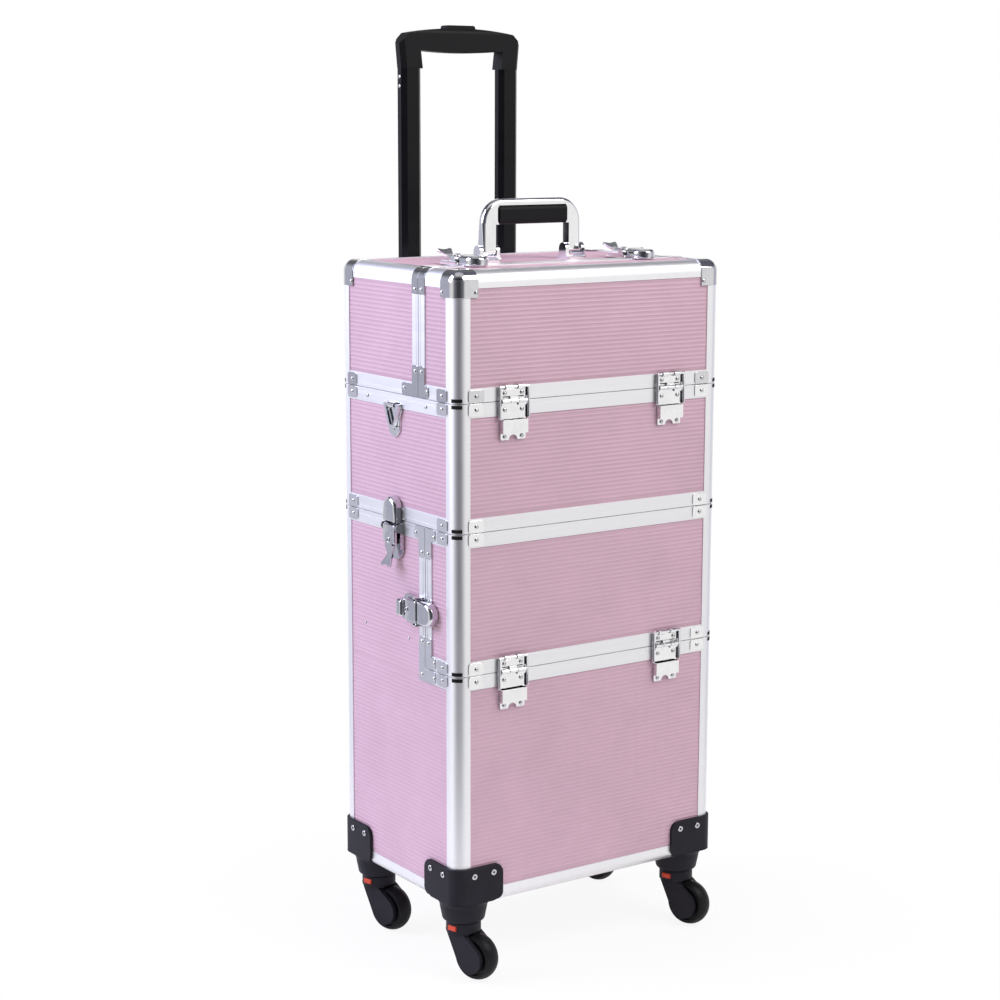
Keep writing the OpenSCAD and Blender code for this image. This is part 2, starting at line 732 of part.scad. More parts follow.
// Keeper plate with an arched end and a rounded lip for the hook
module clasp_keeper() {
  arch_r = 11;
  lip_r = 3;
  lip_h = 4.5;
  lip_l = 6;
  lip_y = half_gap + 5;
  linear_extrude(clasp_t) {
    translate([0, keeper_l - arch_r]) circle(arch_r);
    translate([-clasp_w / 2, half_gap]) round_rect(clasp_w, keeper_l - arch_r, 3);
  }
  translate([0, lip_y, clasp_t / 2]) rotate([0, -90, 0]) linear_extrude(clasp_w * 0.6, center = true) {
    for (y = [0, lip_l]) translate([lip_h, y]) circle(lip_r);
    translate([0, -lip_r]) square([lip_h, lip_l + 2 * lip_r]);
    square([lip_h + lip_r, lip_l]);
  }
}

// Outline that is the same on both sides of the y axis, from the points of its right half
module even_outline(half) {
  n = len(half);
  polygon(concat(half, [for (i = [1:n]) [-half[n - i][0], half[n - i][1]]]));
}

// Lever: a hub between the ears, a lock block, a narrow neck and a fishtail that flares out
module clasp_lever() {
  hub_r = clasp_pin_r + 2;
  skin = 2.4;
  sink = 0.4;
  flare = 28;
  shoulder_half = lever_w / 2 - 1;
  body_half = 8;
  neck_half = 4.5;
  tail_half = 9;
  slope = 4.5;
  lock_w = 13;
  lock_l = 16;
  tail = clasp_base_l - 4 - clasp_pivot_in;
  z_skin = clasp_pivot_h + hub_r - skin - sink;
  y_lock = -clasp_pivot_in - tail * 0.45;
  y_body = y_lock - lock_l / 2 - 1;
  y_tail = -clasp_pivot_in - tail;
  y_tip = tail - lever_reach;
  difference() {
    union() {
      translate([-lever_w / 2, -clasp_pivot_in, clasp_pivot_h]) rotate([0, 90, 0]) cylinder(r = hub_r, h = lever_w);
      translate([0, 0, z_skin]) linear_extrude(skin) even_outline([
        [shoulder_half, -clasp_pivot_in], [body_half, -clasp_pivot_in - slope],
        [body_half, y_body], [neck_half, y_body - slope], [neck_half, y_tail - 1]
      ]);
      translate([0, y_tail, z_skin]) rotate([-flare, 0, 0]) linear_extrude(skin) even_outline([
        [neck_half - 0.5, 1], [tail_half, y_tip + 1], [tail_half - 2, y_tip], [1, y_tip + 2]
      ]);
      translate([-lock_w / 2, y_lock - lock_l / 2, z_skin + skin / 2]) linear_extrude(skin)
        round_rect(lock_w, lock_l, 3);
    }
    translate([-clasp_w / 2, -clasp_pivot_in, clasp_pivot_h]) rotate([0, 90, 0])
      cylinder(r = clasp_pin_r + run_clear, h = clasp_w);
    translate([0, y_lock, z_skin + skin]) cylinder(r = 2, h = skin);
  }
}

// Places of the three kinds of clasp
module at_case_clasp() { on_side(case_clasp_y, z_box) children(); }
module at_door_clasp() { on_side(y_door, z_case + door_clasp_rise) rotate(90) children(); }
module at_top_clasp() { translate([top_clasp_x, y_lid, z_top]) rotate(180) children(); }

module side_clasp_bases() {
  color_chrome() both_sides() {
    at_case_clasp() clasp_base();
    at_door_clasp() clasp_base();
  }
}
module top_clasp_bases() { color_chrome() both_sides() at_top_clasp() clasp_base(); }
module top_clasp_keepers() { color_chrome() both_sides() at_top_clasp() clasp_keeper(); }
module top_lever(sx) { color_chrome() flip(sx, 1) at_top_clasp() clasp_lever(); }
module case_lever(sx) { color_chrome() flip(sx, 1) at_case_clasp() clasp_lever(); }
module door_lever(sx) { color_chrome() flip(sx, 1) at_door_clasp() clasp_lever(); }

// Drop-down door

module door_panels() {
  z_lo = z_door + lip_in;
  z_hi = z_box - lip_in;
  color_board() {
    board_across(-1, z_lo, z_hi);
    for (sx = [-1, 1]) board_along(sx, -half_d + edge_r, y_door - lip_in, z_lo, z_hi);
  }
}

module door_frame() {
  y_flange = -half_d + flange_w + butt_gap;
  y_post = -half_d + edge_r + butt_gap;
  z_lo = z_door + half_gap;
  z_hi = z_box - half_gap;
  color_aluminium() {
    rim_across(-1, z_door, true);
    rim_across(-1, z_box, false);
    for (sx = [-1, 1]) {
      post(sx, -1, z_lo, z_hi);
      rim_along(sx, z_door, true, y_flange, y_door - jamb_w - butt_gap, y_post, y_door - lip_in - butt_gap);
      rim_along(sx, z_box, false, y_flange, y_door - jamb_w - butt_gap, y_post, y_door - lip_in - butt_gap);
      jamb(sx, y_door, false, z_lo, z_hi, z_lo, z_hi);
    }
  }
}

module door_side_plates() {
  color_chrome() for (sx = [-1, 1]) {
    seam_plates(sx, -1, z_door, true);
    seam_plates(sx, -1, z_box, false);
    flip(sx, 1) {
      on_side(y_door, z_door) mirror([1, 0, 0]) angle_plate(bracket_reach, bracket_rise);
      on_side(y_door, z_box) mirror([1, 0, 0]) mirror([0, 1, 0]) angle_plate(bracket_reach, bracket_rise);
      at_door_clasp() clasp_keeper();
    }
  }
}

// Upper box

module upper_panels() {
  z_lo = z_box + lip_in;
  z_hi = z_lid - lip_in;
  color_board() {
    translate([-half_w + wall_in, -half_d + wall_in, z_lo])
      cube([case_w - 2 * wall_in, case_d - 2 * wall_in, board_t]);
    for (s = [-1, 1]) {
      board_across(s, z_lo, z_hi);
      board_along(s, -half_d + edge_r, half_d - edge_r, z_lo, z_hi);
    }
  }
}

module upper_frame() {
  y_flange = half_d - flange_w - butt_gap;
  y_post = half_d - edge_r - butt_gap;
  color_aluminium() {
    for (sy = [-1, 1]) {
      rim_across(sy, z_box, true);
      rim_across(sy, z_lid, false);
    }
    for (sx = [-1, 1]) {
      for (sy = [-1, 1]) corner_post(sx, sy, z_box + half_gap, z_lid - half_gap);
      rim_along(sx, z_box, true, -y_flange, y_flange, -y_post, y_post);
      rim_along(sx, z_lid, false, -y_flange, y_flange, -y_post, y_post);
    }
  }
}

// Edge profile cut back for the floor board of the upper box
module corner_post(sx, sy, z_lo, z_hi) {
  difference() {
    post(sx, sy, z_lo, z_hi);
    translate([-half_w + wall_in, -half_d + wall_in, z_box])
      cube([case_w - 2 * wall_in, case_d - 2 * wall_in, lip_in + board_t]);
  }
}

module upper_side_plates() {
  color_chrome() {
    for (sx = [-1, 1], sy = [-1, 1]) {
      seam_plates(sx, sy, z_box, true);
      seam_plates(sx, sy, z_lid, false);
    }
    both_sides() at_case_clasp() clasp_keeper();
  }
}

// Lids

module front_lid_panels() {
  boss_l = 5;
  z_lo = z_lid + lip_in;
  z_hi = z_top - edge_r;
  y_lo = -half_d + edge_r;
  y_hi = y_lid - lip_in;
  color_board() {
    board_across(-1, z_lo, z_hi);
    for (sx = [-1, 1]) board_along(sx, y_lo, y_hi, z_lo, z_hi);
    translate([-half_w + edge_r, y_lo, z_top - wall_in]) cube([case_w - 2 * edge_r, y_hi - y_lo, board_t]);
    both_sides() translate([half_w - wall_in, tray_y, tray_z]) rotate([0, -90, 0]) difference() {
      cylinder(r = tray_pin_r + 3, h = boss_l);
      translate([0, 0, -1]) cylinder(r = tray_pin_r + run_clear, h = boss_l + 2);
    }
  }
}

module rear_lid_panels() {
  z_lo = z_lid + lip_in;
  z_hi = z_top - edge_r;
  y_lo = y_lid + lip_in;
  y_hi = half_d - edge_r;
  color_board() {
    board_across(1, z_lo, z_hi);
    for (sx = [-1, 1]) board_along(sx, y_lo, y_hi, z_lo, z_hi);
    translate([-half_w + edge_r, y_lo, z_top - wall_in]) cube([case_w - 2 * edge_r, y_hi - y_lo, board_t]);
  }
}

// Profiles of one lid: sy is its closed side, and behind says that it lies behind the lid seam
module lid_frame(sy, behind) {
  s = behind ? 1 : -1;
  z_lo = z_lid + half_gap;
  z_ball = z_top - edge_r - butt_gap;
  z_flange = z_top - flange_w - butt_gap;
  y_ball = s * (half_d - edge_r - butt_gap);
  y_flange = s * (half_d - flange_w - butt_gap);
  y_seam = y_lid + s * half_gap;
  y_lip = y_lid + s * (lip_in + butt_gap);
  y_jamb = y_lid + s * (jamb_w + butt_gap);
  edge_across(sy, z_top, true);
  rim_across(sy, z_lid, true);
  jamb_top(behind);
  for (sx = [-1, 1]) {
    post(sx, sy, z_lo, z_ball);
    edge_along(sx, z_top, true, min(y_ball, y_seam), max(y_ball, y_seam));
    rim_along(sx, z_lid, true, min(y_flange, y_jamb), max(y_flange, y_jamb),
      min(y_ball, y_lip), max(y_ball, y_lip));
    jamb(sx, y_lid, behind, z_lo, z_flange, z_lo, z_ball);
  }
}

module front_lid_frame() { color_aluminium() lid_frame(-1, false); }
module rear_lid_frame() { color_aluminium() lid_frame(1, true); }

module front_lid_corners() {
  color_chrome() for (sx = [-1, 1]) {
    ball_corner(sx, -1);
    seam_plates(sx, -1, z_lid, true);
    top_strap(sx, false);
    flip(sx, 1) on_side(y_lid, z_lid) mirror([1, 0, 0]) angle_plate(bracket_reach, bracket_rise);
  }
}

module rear_lid_corners() {
  color_chrome() for (sx = [-1, 1]) {
    ball_corner(sx, 1);
    seam_plates(sx, 1, z_lid, true);
    top_strap(sx, true);
    flip(sx, 1) on_side(y_lid, z_lid) angle_plate(bracket_reach + jamb_w, bracket_rise);
  }
}

// Carry handle

foot_t = 4;
foot_d = 20;
foot_base = 3;
handle_pin_r = 2.5;
foot_x = bail_half_w - bail_arm_w / 2;
grip_half = bail_half_w - bail_arm_w - 4;

module handle_feet() {
  ear_r = 6.5;
  step_h = 3;
  inner = bail_arm_w + 2 * side_clear;
  z_board = z_top - flange_t;
  h = handle_pivot_h + flange_t;
  color_chrome() both_sides() translate([foot_x, handle_y, z_board]) {
    translate([-inner / 2 - foot_t, -foot_d / 2, 0]) linear_extrude(foot_base)
      round_rect(inner + 2 * foot_t, foot_d, 3);
    for (s = [-1, 1]) translate([s * (inner + foot_t) / 2, 0, 0]) rotate([90, 0, 90])
      linear_extrude(foot_t, center = true) {
        translate([0, h]) circle(ear_r);
        translate([-ear_r, foot_base / 2]) square([2 * ear_r, h - foot_base / 2]);
        translate([-foot_d / 2 + 1, foot_base / 2]) square([foot_d - 2, step_h]);
      }
    translate([-inner / 2 - foot_t / 2, 0, h]) rotate([0, 90, 0]) cylinder(r = handle_pin_r, h = inner + foot_t);
  }
}

// Outline of the bail in its own plane, with the pivot height at y = 0
module bail_outline() {
  top = bail_h - handle_pivot_h;
  translate([-bail_half_w + bail_r, top - bail_r]) square([2 * (bail_half_w - bail_r), bail_r]);
  translate([-bail_half_w, 0]) square([2 * bail_half_w, top - bail_r]);
  for (sx = [-1, 1]) translate([sx * (bail_half_w - bail_r), top - bail_r]) circle(bail_r);
}

module handle_bail() {
  top = bail_h - handle_pivot_h;
  inner_half = bail_half_w - bail_arm_w;
  throat = top - bail_bar_h - grip_h;
  color_chrome() translate([0, handle_y, z_top + handle_pivot_h]) difference() {
    union() {
      rotate([90, 0, 0]) linear_extrude(bail_t, center = true) difference() {
        bail_outline();
        translate([-inner_half, -1]) square([2 * inner_half, throat + 1]);
        translate([-grip_half, 0]) square([2 * grip_half, top - bail_bar_h]);
      }
      for (sx = [-1, 1]) translate([sx * foot_x, 0, 0]) rotate([0, 90, 0])
        cylinder(d = bail_t, h = bail_arm_w, center = true);
    }
    for (sx = [-1, 1]) translate([sx * foot_x, 0, 0]) rotate([0, 90, 0])
      cylinder(r = handle_pin_r + run_clear, h = bail_arm_w + 2, center = true);
  }
}

module handle_grip() {
  top = bail_h - handle_pivot_h - bail_bar_h;
  color_black() translate([-grip_half, handle_y, z_top + handle_pivot_h + top - grip_h]) rotate([90, 0, 90])
    linear_extrude(2 * grip_half) translate([-grip_t / 2, 0]) round_rect(grip_t, grip_h, 5);
}

// Strap rings

ring_lug_r = ring_r + 1.4;
ring_out = ring_lug_r + 0.2;

module strap_ring_plates() {
  z_axis = z_lid - ring_drop;
  lug_l = ring_w * 0.4;
  color_chrome() both_sides() on_side(ring_y, z_axis) difference() {
    union() {
      linear_extrude(plate_t) {
        translate([-ring_w / 2, -rim_w / 2]) round_rect(ring_w, rim_w / 2 + 3, 3);
        translate([0, -ring_h]) circle(6);
        polygon([[-ring_w / 2, -rim_w / 2 + 3], [ring_w / 2, -rim_w / 2 + 3], [6, -ring_h], [-6, -ring_h]]);
      }
      translate([-lug_l / 2, 0, ring_out]) rotate([0, 90, 0]) cylinder(r = ring_lug_r, h = lug_l);
      translate([-lug_l / 2, -ring_lug_r, 0]) cube([lug_l, 2 * ring_lug_r, ring_out]);
    }
    translate([-ring_w / 2, 0, ring_out]) rotate([0, 90, 0]) cylinder(r = ring_r + run_clear, h = ring_w);
  }
}

// Flat bar between two points
module bar(a, b, w) {
  d = b - a;
  translate(a) rotate(atan2(d[1], d[0])) translate([0, -w / 2]) square([norm(d), w]);
}

// Ring that hangs from a round top bar, with flat sides and rounded corners
module strap_ring(sx) {
  half = ring_w / 2 - ring_r;
  tip_half = 4;
  tip = -ring_h + ring_r;
  bar_w = ring_r * 1.9;
  bar_t = ring_r * 1.7;
  knuckle_r = ring_r * 1.12;
  corners = [[half, 0], [tip_half, tip], [-tip_half, tip], [-half, 0]];
  color_chrome() flip(sx, 1) on_side(ring_y, z_lid - ring_drop) translate([0, 0, ring_out]) {
    translate([-half, 0, 0]) rotate([0, 90, 0]) cylinder(r = ring_r, h = 2 * half);
    linear_extrude(bar_t, center = true) {
      for (i = [0:2]) bar(corners[i], corners[i + 1], bar_w);
      for (c = corners) translate(c) circle(knuckle_r);
    }
  }
}

// Trolley handle

module trolley_middle_tubes() {
  z_hi = z_case + middle_tube_top;
  color_black() tube_pair(middle_w, middle_d, z_hi - middle_tube_l, z_hi);
}

module trolley_inner_tubes() {
  z_hi = z_case + inner_tube_top;
  color_black() tube_pair(tube_w, tube_d, z_hi - inner_tube_l, z_hi);
}

// Pull grip: legs that carry on the tubes, a bar with an arched top and cut shoulders
pull_leg = tube_x + tube_w / 2;
pull_cut = 11;
pull_arch = 6;
pull_shoulder = pull_h - pull_arch - pull_cut;

// Outline of the pull grip, with a full underside of the bar and legs that narrow upwards on the inside
module pull_outline() {
  half = pull_w / 2;
  leg_in = pull_leg - tube_w;
  draft = 2.5;
  arch_r = (pow(half - pull_cut, 2) + pow(pull_arch, 2)) / (2 * pull_arch);
  belly = 3;
  belly_half = leg_in + draft + 3;
  belly_r = (pow(belly_half, 2) + pow(belly, 2)) / (2 * belly);
  z_bar = pull_h - pull_bar_h;
  intersection() {
    difference() {
      polygon([
        [-pull_leg, 0], [-half, pull_shoulder], [-half + pull_cut, pull_h - pull_arch], [0, pull_h + pull_arch],
        [half - pull_cut, pull_h - pull_arch], [half, pull_shoulder], [pull_leg, 0]
      ]);
      difference() {
        polygon([[-leg_in, -1], [-leg_in - draft, z_bar], [leg_in + draft, z_bar], [leg_in, -1]]);
        translate([0, z_bar - belly + belly_r]) circle(belly_r, $fn = 96);
      }
    }
    translate([0, pull_h - arch_r]) circle(arch_r, $fn = 96);
  }
}

module trolley_grip() {
  z = z_case + inner_tube_top;
  slot_l = button_l + 2 * side_clear;
  slot_w = button_w + 2 * side_clear;
  slot_h = button_travel + 10;
  r = 6.5;
  bevel = tube_chamfer / sqrt(2);
  lean = atan2(pull_w / 2 - pull_leg, pull_shoulder);
  color_black() translate([0, tube_y, z]) difference() {
    intersection() {
      rotate([90, 0, 0]) linear_extrude(pull_d, center = true) pull_outline();
      rotate([90, 0, 90]) linear_extrude(pull_w + 2, center = true)
        translate([-pull_d / 2, -2 * r]) round_rect(pull_d, pull_h + 2 * r, r);
    }
    translate([-slot_l / 2, -slot_w / 2, pull_h - slot_h]) cube([slot_l, slot_w, slot_h + 1]);
    for (sx = [-1, 1], sy = [-1, 1]) flip(sx, sy) translate([pull_leg, pull_d / 2, 0]) rotate([0, lean, 0])
      rotate([0, 0, 45]) translate([-bevel, -pull_h, -pull_h]) cube([pull_h, 2 * pull_h, 3 * pull_h]);
  }
}

module trolley_button() {
  h = 10;
  color_black() translate([-button_l / 2, tube_y, z_case + inner_tube_top + pull_h + button_proud - h])
    rotate([90, 0, 0]) linear_extrude(button_w, center = true) round_rect(button_l, h, 3);
}

// Casters: x along the trail, y along the axle, z up from the floor

module at_caster(sx, sy) {
  translate([sx * (half_w - caster_inset), sy * (half_d - caster_inset), 0]) rotate(trail_angle) children();
}

// Point where a line from p touches the circle of radius r at c, on the given side
function touch(p, c, r, side) =
  let (d = p - c, a = atan2(d[1], d[0]) + side * acos(r / norm(d))) c + r * [cos(a), sin(a)];

// Side view of a fork arm: from under the head to the round foot over the axle
module arm_outline() {
  hub = [wheel_trail, wheel_r];
  back = [-fork_head_d * 0.34, head_z + 3];
  front = [fork_head_d * 0.2, head_z + 3];
  polygon([back, touch(back, hub, fork_foot_r, 1), hub, touch(front, hub, fork_foot_r, -1), front]);
  translate(hub) circle(fork_foot_r);
}

module fork(sx, sy) {
  slot_w = tab_w + 2 * side_clear;
  slot_h = tab_h + 2 * side_clear;
  tab_z = head_z + fork_head_h / 2;
  head_r = fork_head_d / 2;
  edge = 2;
  well_clear = 1.2;
  color_black() at_caster(sx, sy) {
    difference() {
      union() {
        translate([0, 0, head_z]) rotate_extrude() {
          square([head_r - edge, fork_head_h]);
          square([head_r, fork_head_h - edge]);
          translate([head_r - edge, fork_head_h - edge]) circle(edge);
        }
        translate([0, 0, head_z]) cylinder(r = stem_r, h = fork_head_h + neck_h - 5);
        for (s = [-1, 1]) translate([0, s * (fork_w - fork_arm_t) / 2, 0]) rotate([90, 0, 0])
          linear_extrude(fork_arm_t, center = true) arm_outline();
      }
      translate([wheel_trail, 0, wheel_r]) rotate([90, 0, 0])
        cylinder(r = wheel_r + well_clear, h = fork_gap, center = true);
      translate([-slot_w / 2, -fork_head_d, tab_z - slot_h / 2])
        cube([slot_w, fork_head_d - stem_r - 2.5, slot_h]);
    }
    translate([wheel_trail, 0, wheel_r]) rotate([90, 0, 0]) cylinder(r = axle_r, h = fork_gap + 2, center = true);
  }
}

module wheel(sx, sy) {
  crown = 3;
  shoulder = 2.5;
  hub_r = axle_r + 5;
  crown_r = (pow(wheel_w / 2, 2) + pow(crown, 2)) / (2 * crown);
  color_black() at_caster(sx, sy) translate([wheel_trail, 0, wheel_r]) rotate([90, 0, 0]) rotate_extrude()
    difference() {
      intersection() {
        translate([axle_r + run_clear, -wheel_w / 2]) square([wheel_r, wheel_w]);
        translate([wheel_r - crown_r, 0]) circle(crown_r, $fn = 96);
      }
      for (s = [-1, 1]) translate([hub_r, s * wheel_w / 2 - shoulder])
        square([wheel_r - crown - 3 - hub_r, 2 * shoulder]);
    }
}

module tab(sx, sy) {
  proud = 1;
  depth = 7;
  color("tomato") at_caster(sx, sy)
    translate([-tab_w / 2, -fork_head_d / 2 - proud, head_z + (fork_head_h - tab_h) / 2])
      rotate([90, 0, 90]) linear_extrude(tab_w) round_rect(depth, tab_h, 1);
}

// Tray behind the front lid, with its end pins and arms

module front_tray() {
  y_lo = -half_d + wall_in + tray_gap;
  z_lo = tray_z - tray_drop;
  pin_l = half_w - wall_in - tray_half_w - half_gap;
  color_black() {
    translate([0, y_lo, z_lo]) difference() {
      translate([-tray_half_w, 0, 0]) cube([2 * tray_half_w, tray_d, tray_h]);
      translate([-tray_half_w + tray_wall, tray_wall, tray_wall])
        cube([2 * (tray_half_w - tray_wall), tray_d - 2 * tray_wall, tray_h]);
    }
    both_sides() {
      translate([tray_half_w, tray_y, tray_z]) rotate([0, 90, 0]) cylinder(r = tray_pin_r, h = pin_l);
      translate([tray_half_w, tray_y + arm_offset_y, tray_z + arm_offset_z]) rotate([0, 90, 0])
        cylinder(r = tray_pin_r, h = arm_x + arm_t - tray_half_w);
    }
  }
}

// Flat arm from the box bracket to the tray; the hole at the tray is loose
module tray_arms() {
  link = [tray_pivot_y, tray_pivot_z];
  length = norm(link);
  color_black() both_sides()
    translate([arm_x, hinge_y + arm_offset_y, z_lid + arm_offset_z]) rotate([90, 0, 90])
      rotate(atan2(link[1], link[0])) linear_extrude(arm_t) difference() {
        union() {
          translate([0, -arm_half_w]) square([length, 2 * arm_half_w]);
          for (x = [0, length]) translate([x, 0]) circle(arm_half_w + 2);
        }
        circle(tray_pin_r + run_clear);
        translate([length, 0]) circle(tray_pin_r + 1);
      }
}

// Brackets on the box walls that carry the arms; the foot stays clear of the corner posts
module tray_brackets() {
  r = 6;
  foot = 34;
  foot_h = 18;
  foot_y = -2.5;
  color_black() both_sides() translate([arm_bracket_x, hinge_y + arm_offset_y, z_lid]) {
    rotate([90, 0, 90]) linear_extrude(arm_t) {
      translate([0, arm_offset_z]) circle(r);
      translate([-r, -foot]) square([2 * r, foot + arm_offset_z]);
    }
    translate([0, foot_y, -foot]) cube([half_w - wall_in - arm_bracket_x, r - foot_y, foot_h]);
    translate([-arm_t - side_clear, 0, arm_offset_z]) rotate([0, 90, 0])
      cylinder(r = tray_pin_r, h = arm_t + side_clear + arm_t / 2);
  }
}

lower_panels();
lower_frame();
lower_side_plates();
caster_brackets();
trolley_outer_tubes();
trolley_brackets();
door_hinge_lower_leaves();
side_clasp_bases();
door_panels();
door_frame();
door_side_plates();
door_hinge_upper_leaves();
door_stays();
upper_panels();
upper_frame();
upper_side_plates();
upper_hinge_leaves();
strap_ring_plates();
strap_ring(-1);  // strap_ring_left
strap_ring(1);  // strap_ring_right
front_lid_panels();
front_lid_frame();
front_lid_corners();
front_lid_hinge_leaves();
lid_stays();
top_clasp_keepers();
rear_lid_panels();
rear_lid_frame();
rear_lid_corners();
rear_lid_hinge_leaves();
top_clasp_bases();
handle_feet();
handle_bail();
handle_grip();
top_lever(-1);  // top_lever_left
top_lever(1);  // top_lever_right
case_lever(-1);  // case_lever_left
case_lever(1);  // case_lever_right
door_lever(-1);  // door_lever_left
door_lever(1);  // door_lever_right
trolley_middle_tubes();
trolley_inner_tubes();
trolley_grip();
trolley_button();
fork(-1, -1);  // fork_front_left
fork(1, -1);  // fork_front_right
fork(-1, 1);  // fork_rear_left
fork(1, 1);  // fork_rear_right
wheel(-1, -1);  // wheel_front_left
wheel(1, -1);  // wheel_front_right
wheel(-1, 1);  // wheel_rear_left
wheel(1, 1);  // wheel_rear_right
tab(-1, -1);  // tab_front_left
tab(1, -1);  // tab_front_right
tab(-1, 1);  // tab_rear_left
tab(1, 1);  // tab_rear_right
front_tray();
tray_arms();
tray_brackets();
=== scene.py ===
"""Rolling makeup case: materials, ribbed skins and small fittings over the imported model."""
import json
import math

import bmesh
import bpy
from mathutils import Matrix, Vector


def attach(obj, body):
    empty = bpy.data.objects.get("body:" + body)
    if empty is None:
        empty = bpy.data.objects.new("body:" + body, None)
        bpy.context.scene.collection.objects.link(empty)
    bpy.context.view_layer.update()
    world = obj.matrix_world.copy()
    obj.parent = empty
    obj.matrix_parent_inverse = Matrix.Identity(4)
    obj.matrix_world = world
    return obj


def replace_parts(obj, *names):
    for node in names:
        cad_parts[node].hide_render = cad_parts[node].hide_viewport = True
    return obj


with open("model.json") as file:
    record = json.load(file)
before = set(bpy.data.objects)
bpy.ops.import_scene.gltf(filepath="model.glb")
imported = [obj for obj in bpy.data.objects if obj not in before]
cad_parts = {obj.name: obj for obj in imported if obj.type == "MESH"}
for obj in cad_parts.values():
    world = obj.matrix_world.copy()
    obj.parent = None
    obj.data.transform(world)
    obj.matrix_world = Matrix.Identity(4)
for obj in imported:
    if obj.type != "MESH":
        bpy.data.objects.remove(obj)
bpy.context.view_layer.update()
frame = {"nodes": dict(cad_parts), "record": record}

MM = 0.001

# Outer planes and seams of the case, in millimetres
HALF_W, HALF_D = 170.0, 112.5
Z_CASE, Z_DOOR, Z_BOX, Z_LID, Z_TOP = 82.5, 331.5, 480.0, 612.5, 745.0
Y_DOOR, Y_LID = -55.5, -44.0
FLANGE_T, FLANGE_W, RIM_W, JAMB_W = 1.2, 17.75, 15.0, 12.0
EDGE_R, PLATE_T, LEAF_T = 12.0, 1.0, 1.2
TUBE_X, TUBE_Y = 64.0, 141.5


# Materials

def new_material(name):
    mat = bpy.data.materials.new(name)
    mat.use_nodes = True
    tree = mat.node_tree
    return mat, tree, tree.nodes["Principled BSDF"]


def node(tree, kind, **values):
    made = tree.nodes.new(kind)
    for key, value in values.items():
        if key in made.inputs:
            made.inputs[key].default_value = value
        else:
            setattr(made, key, value)
    return made


def object_coords(tree, scale=(1, 1, 1)):
    coords = node(tree, "ShaderNodeTexCoord")
    mapping = node(tree, "ShaderNodeMapping")
    mapping.inputs["Scale"].default_value = scale
    tree.links.new(coords.outputs["Object"], mapping.inputs["Vector"])
    return mapping.outputs["Vector"]


def noise(tree, vector, scale, detail=3.0, rough=0.55):
    made = node(tree, "ShaderNodeTexNoise", Scale=scale, Detail=detail, Roughness=rough)
    tree.links.new(vector, made.inputs["Vector"])
    return made.outputs["Fac"]


def ramp(tree, fac, stops):
    made = node(tree, "ShaderNodeValToRGB")
    elements = made.color_ramp.elements
    while len(elements) < len(stops):
        elements.new(0.5)
    for element, (at, colour) in zip(elements, stops):
        element.position = at
        element.color = (*colour, 1)
    tree.links.new(fac, made.inputs["Fac"])
    return made.outputs["Color"]


def bump(tree, shader, height, strength, distance):
    made = node(tree, "ShaderNodeBump", Strength=strength, Distance=distance)
    tree.links.new(height, made.inputs["Height"])
    tree.links.new(made.outputs["Normal"], shader.inputs["Normal"])


def roughness_range(tree, shader, fac, low, high):
    made = node(tree, "ShaderNodeMapRange")
    made.inputs["To Min"].default_value = low
    made.inputs["To Max"].default_value = high
    tree.links.new(fac, made.inputs["Value"])
    tree.links.new(made.outputs["Result"], shader.inputs["Roughness"])


def tint(colour, k):
    return tuple(min(1.0, c * k) for c in colour)


def laminate(name, colour):
    """Satin film over the boards: faint cloudy colour, fine grain."""
    mat, tree, shader = new_material(name)
    clouds = noise(tree, object_coords(tree), 14.0)
    paint = ramp(tree, clouds, [(0.3, tint(colour, 0.95)), (0.7, tint(colour, 1.04))])
    tree.links.new(paint, shader.inputs["Base Color"])
    grain = noise(tree, object_coords(tree, (1, 1, 3)), 1600.0, 2.0)
    roughness_range(tree, shader, grain, 0.36, 0.5)
    bump(tree, shader, grain, 0.25, 0.0002)
    shader.inputs["Specular IOR Level"].default_value = 0.45
    return mat


def satin_metal(name, colour, low, high, stretch):
    """Drawn or brushed metal: the grain runs along the axis with the small stretch value."""
    mat, tree, shader = new_material(name)
    lines = noise(tree, object_coords(tree, stretch), 60.0, 4.0, 0.7)
    paint = ramp(tree, lines, [(0.25, tint(colour, 0.97)), (0.75, tint(colour, 1.02))])
    tree.links.new(paint, shader.inputs["Base Color"])
    roughness_range(tree, shader, lines, low, high)
    bump(tree, shader, lines, 0.06, 0.0002)
    shader.inputs["Metallic"].default_value = 1.0
    return mat


def plated(name, colour, low, high):
    """Polished plate with faint smears and small wear marks."""
    mat, tree, shader = new_material(name)
    smear = noise(tree, object_coords(tree), 90.0, 5.0, 0.65)
    roughness_range(tree, shader, smear, low, high)
    paint = ramp(tree, smear, [(0.2, tint(colour, 0.92)), (0.6, colour)])
    tree.links.new(paint, shader.inputs["Base Color"])
    bump(tree, shader, noise(tree, object_coords(tree), 240.0), 0.05, 0.0003)
    shader.inputs["Metallic"].default_value = 1.0
    return mat


def moulded(name, colour, low, high, grain_scale=1400.0, strength=0.35):
    """Moulded plastic with a spark-eroded grain and rubbed patches."""
    mat, tree, shader = new_material(name)
    grain = noise(tree, object_coords(tree), grain_scale, 2.0)
    patches = noise(tree, object_coords(tree), 45.0, 4.0)
    paint = ramp(tree, patches, [(0.3, tint(colour, 0.85)), (0.75, tint(colour, 1.25))])
    tree.links.new(paint, shader.inputs["Base Color"])
    roughness_range(tree, shader, patches, low, high)
    bump(tree, shader, grain, strength, 0.0002)
    shader.inputs["Specular IOR Level"].default_value = 0.16
    return mat


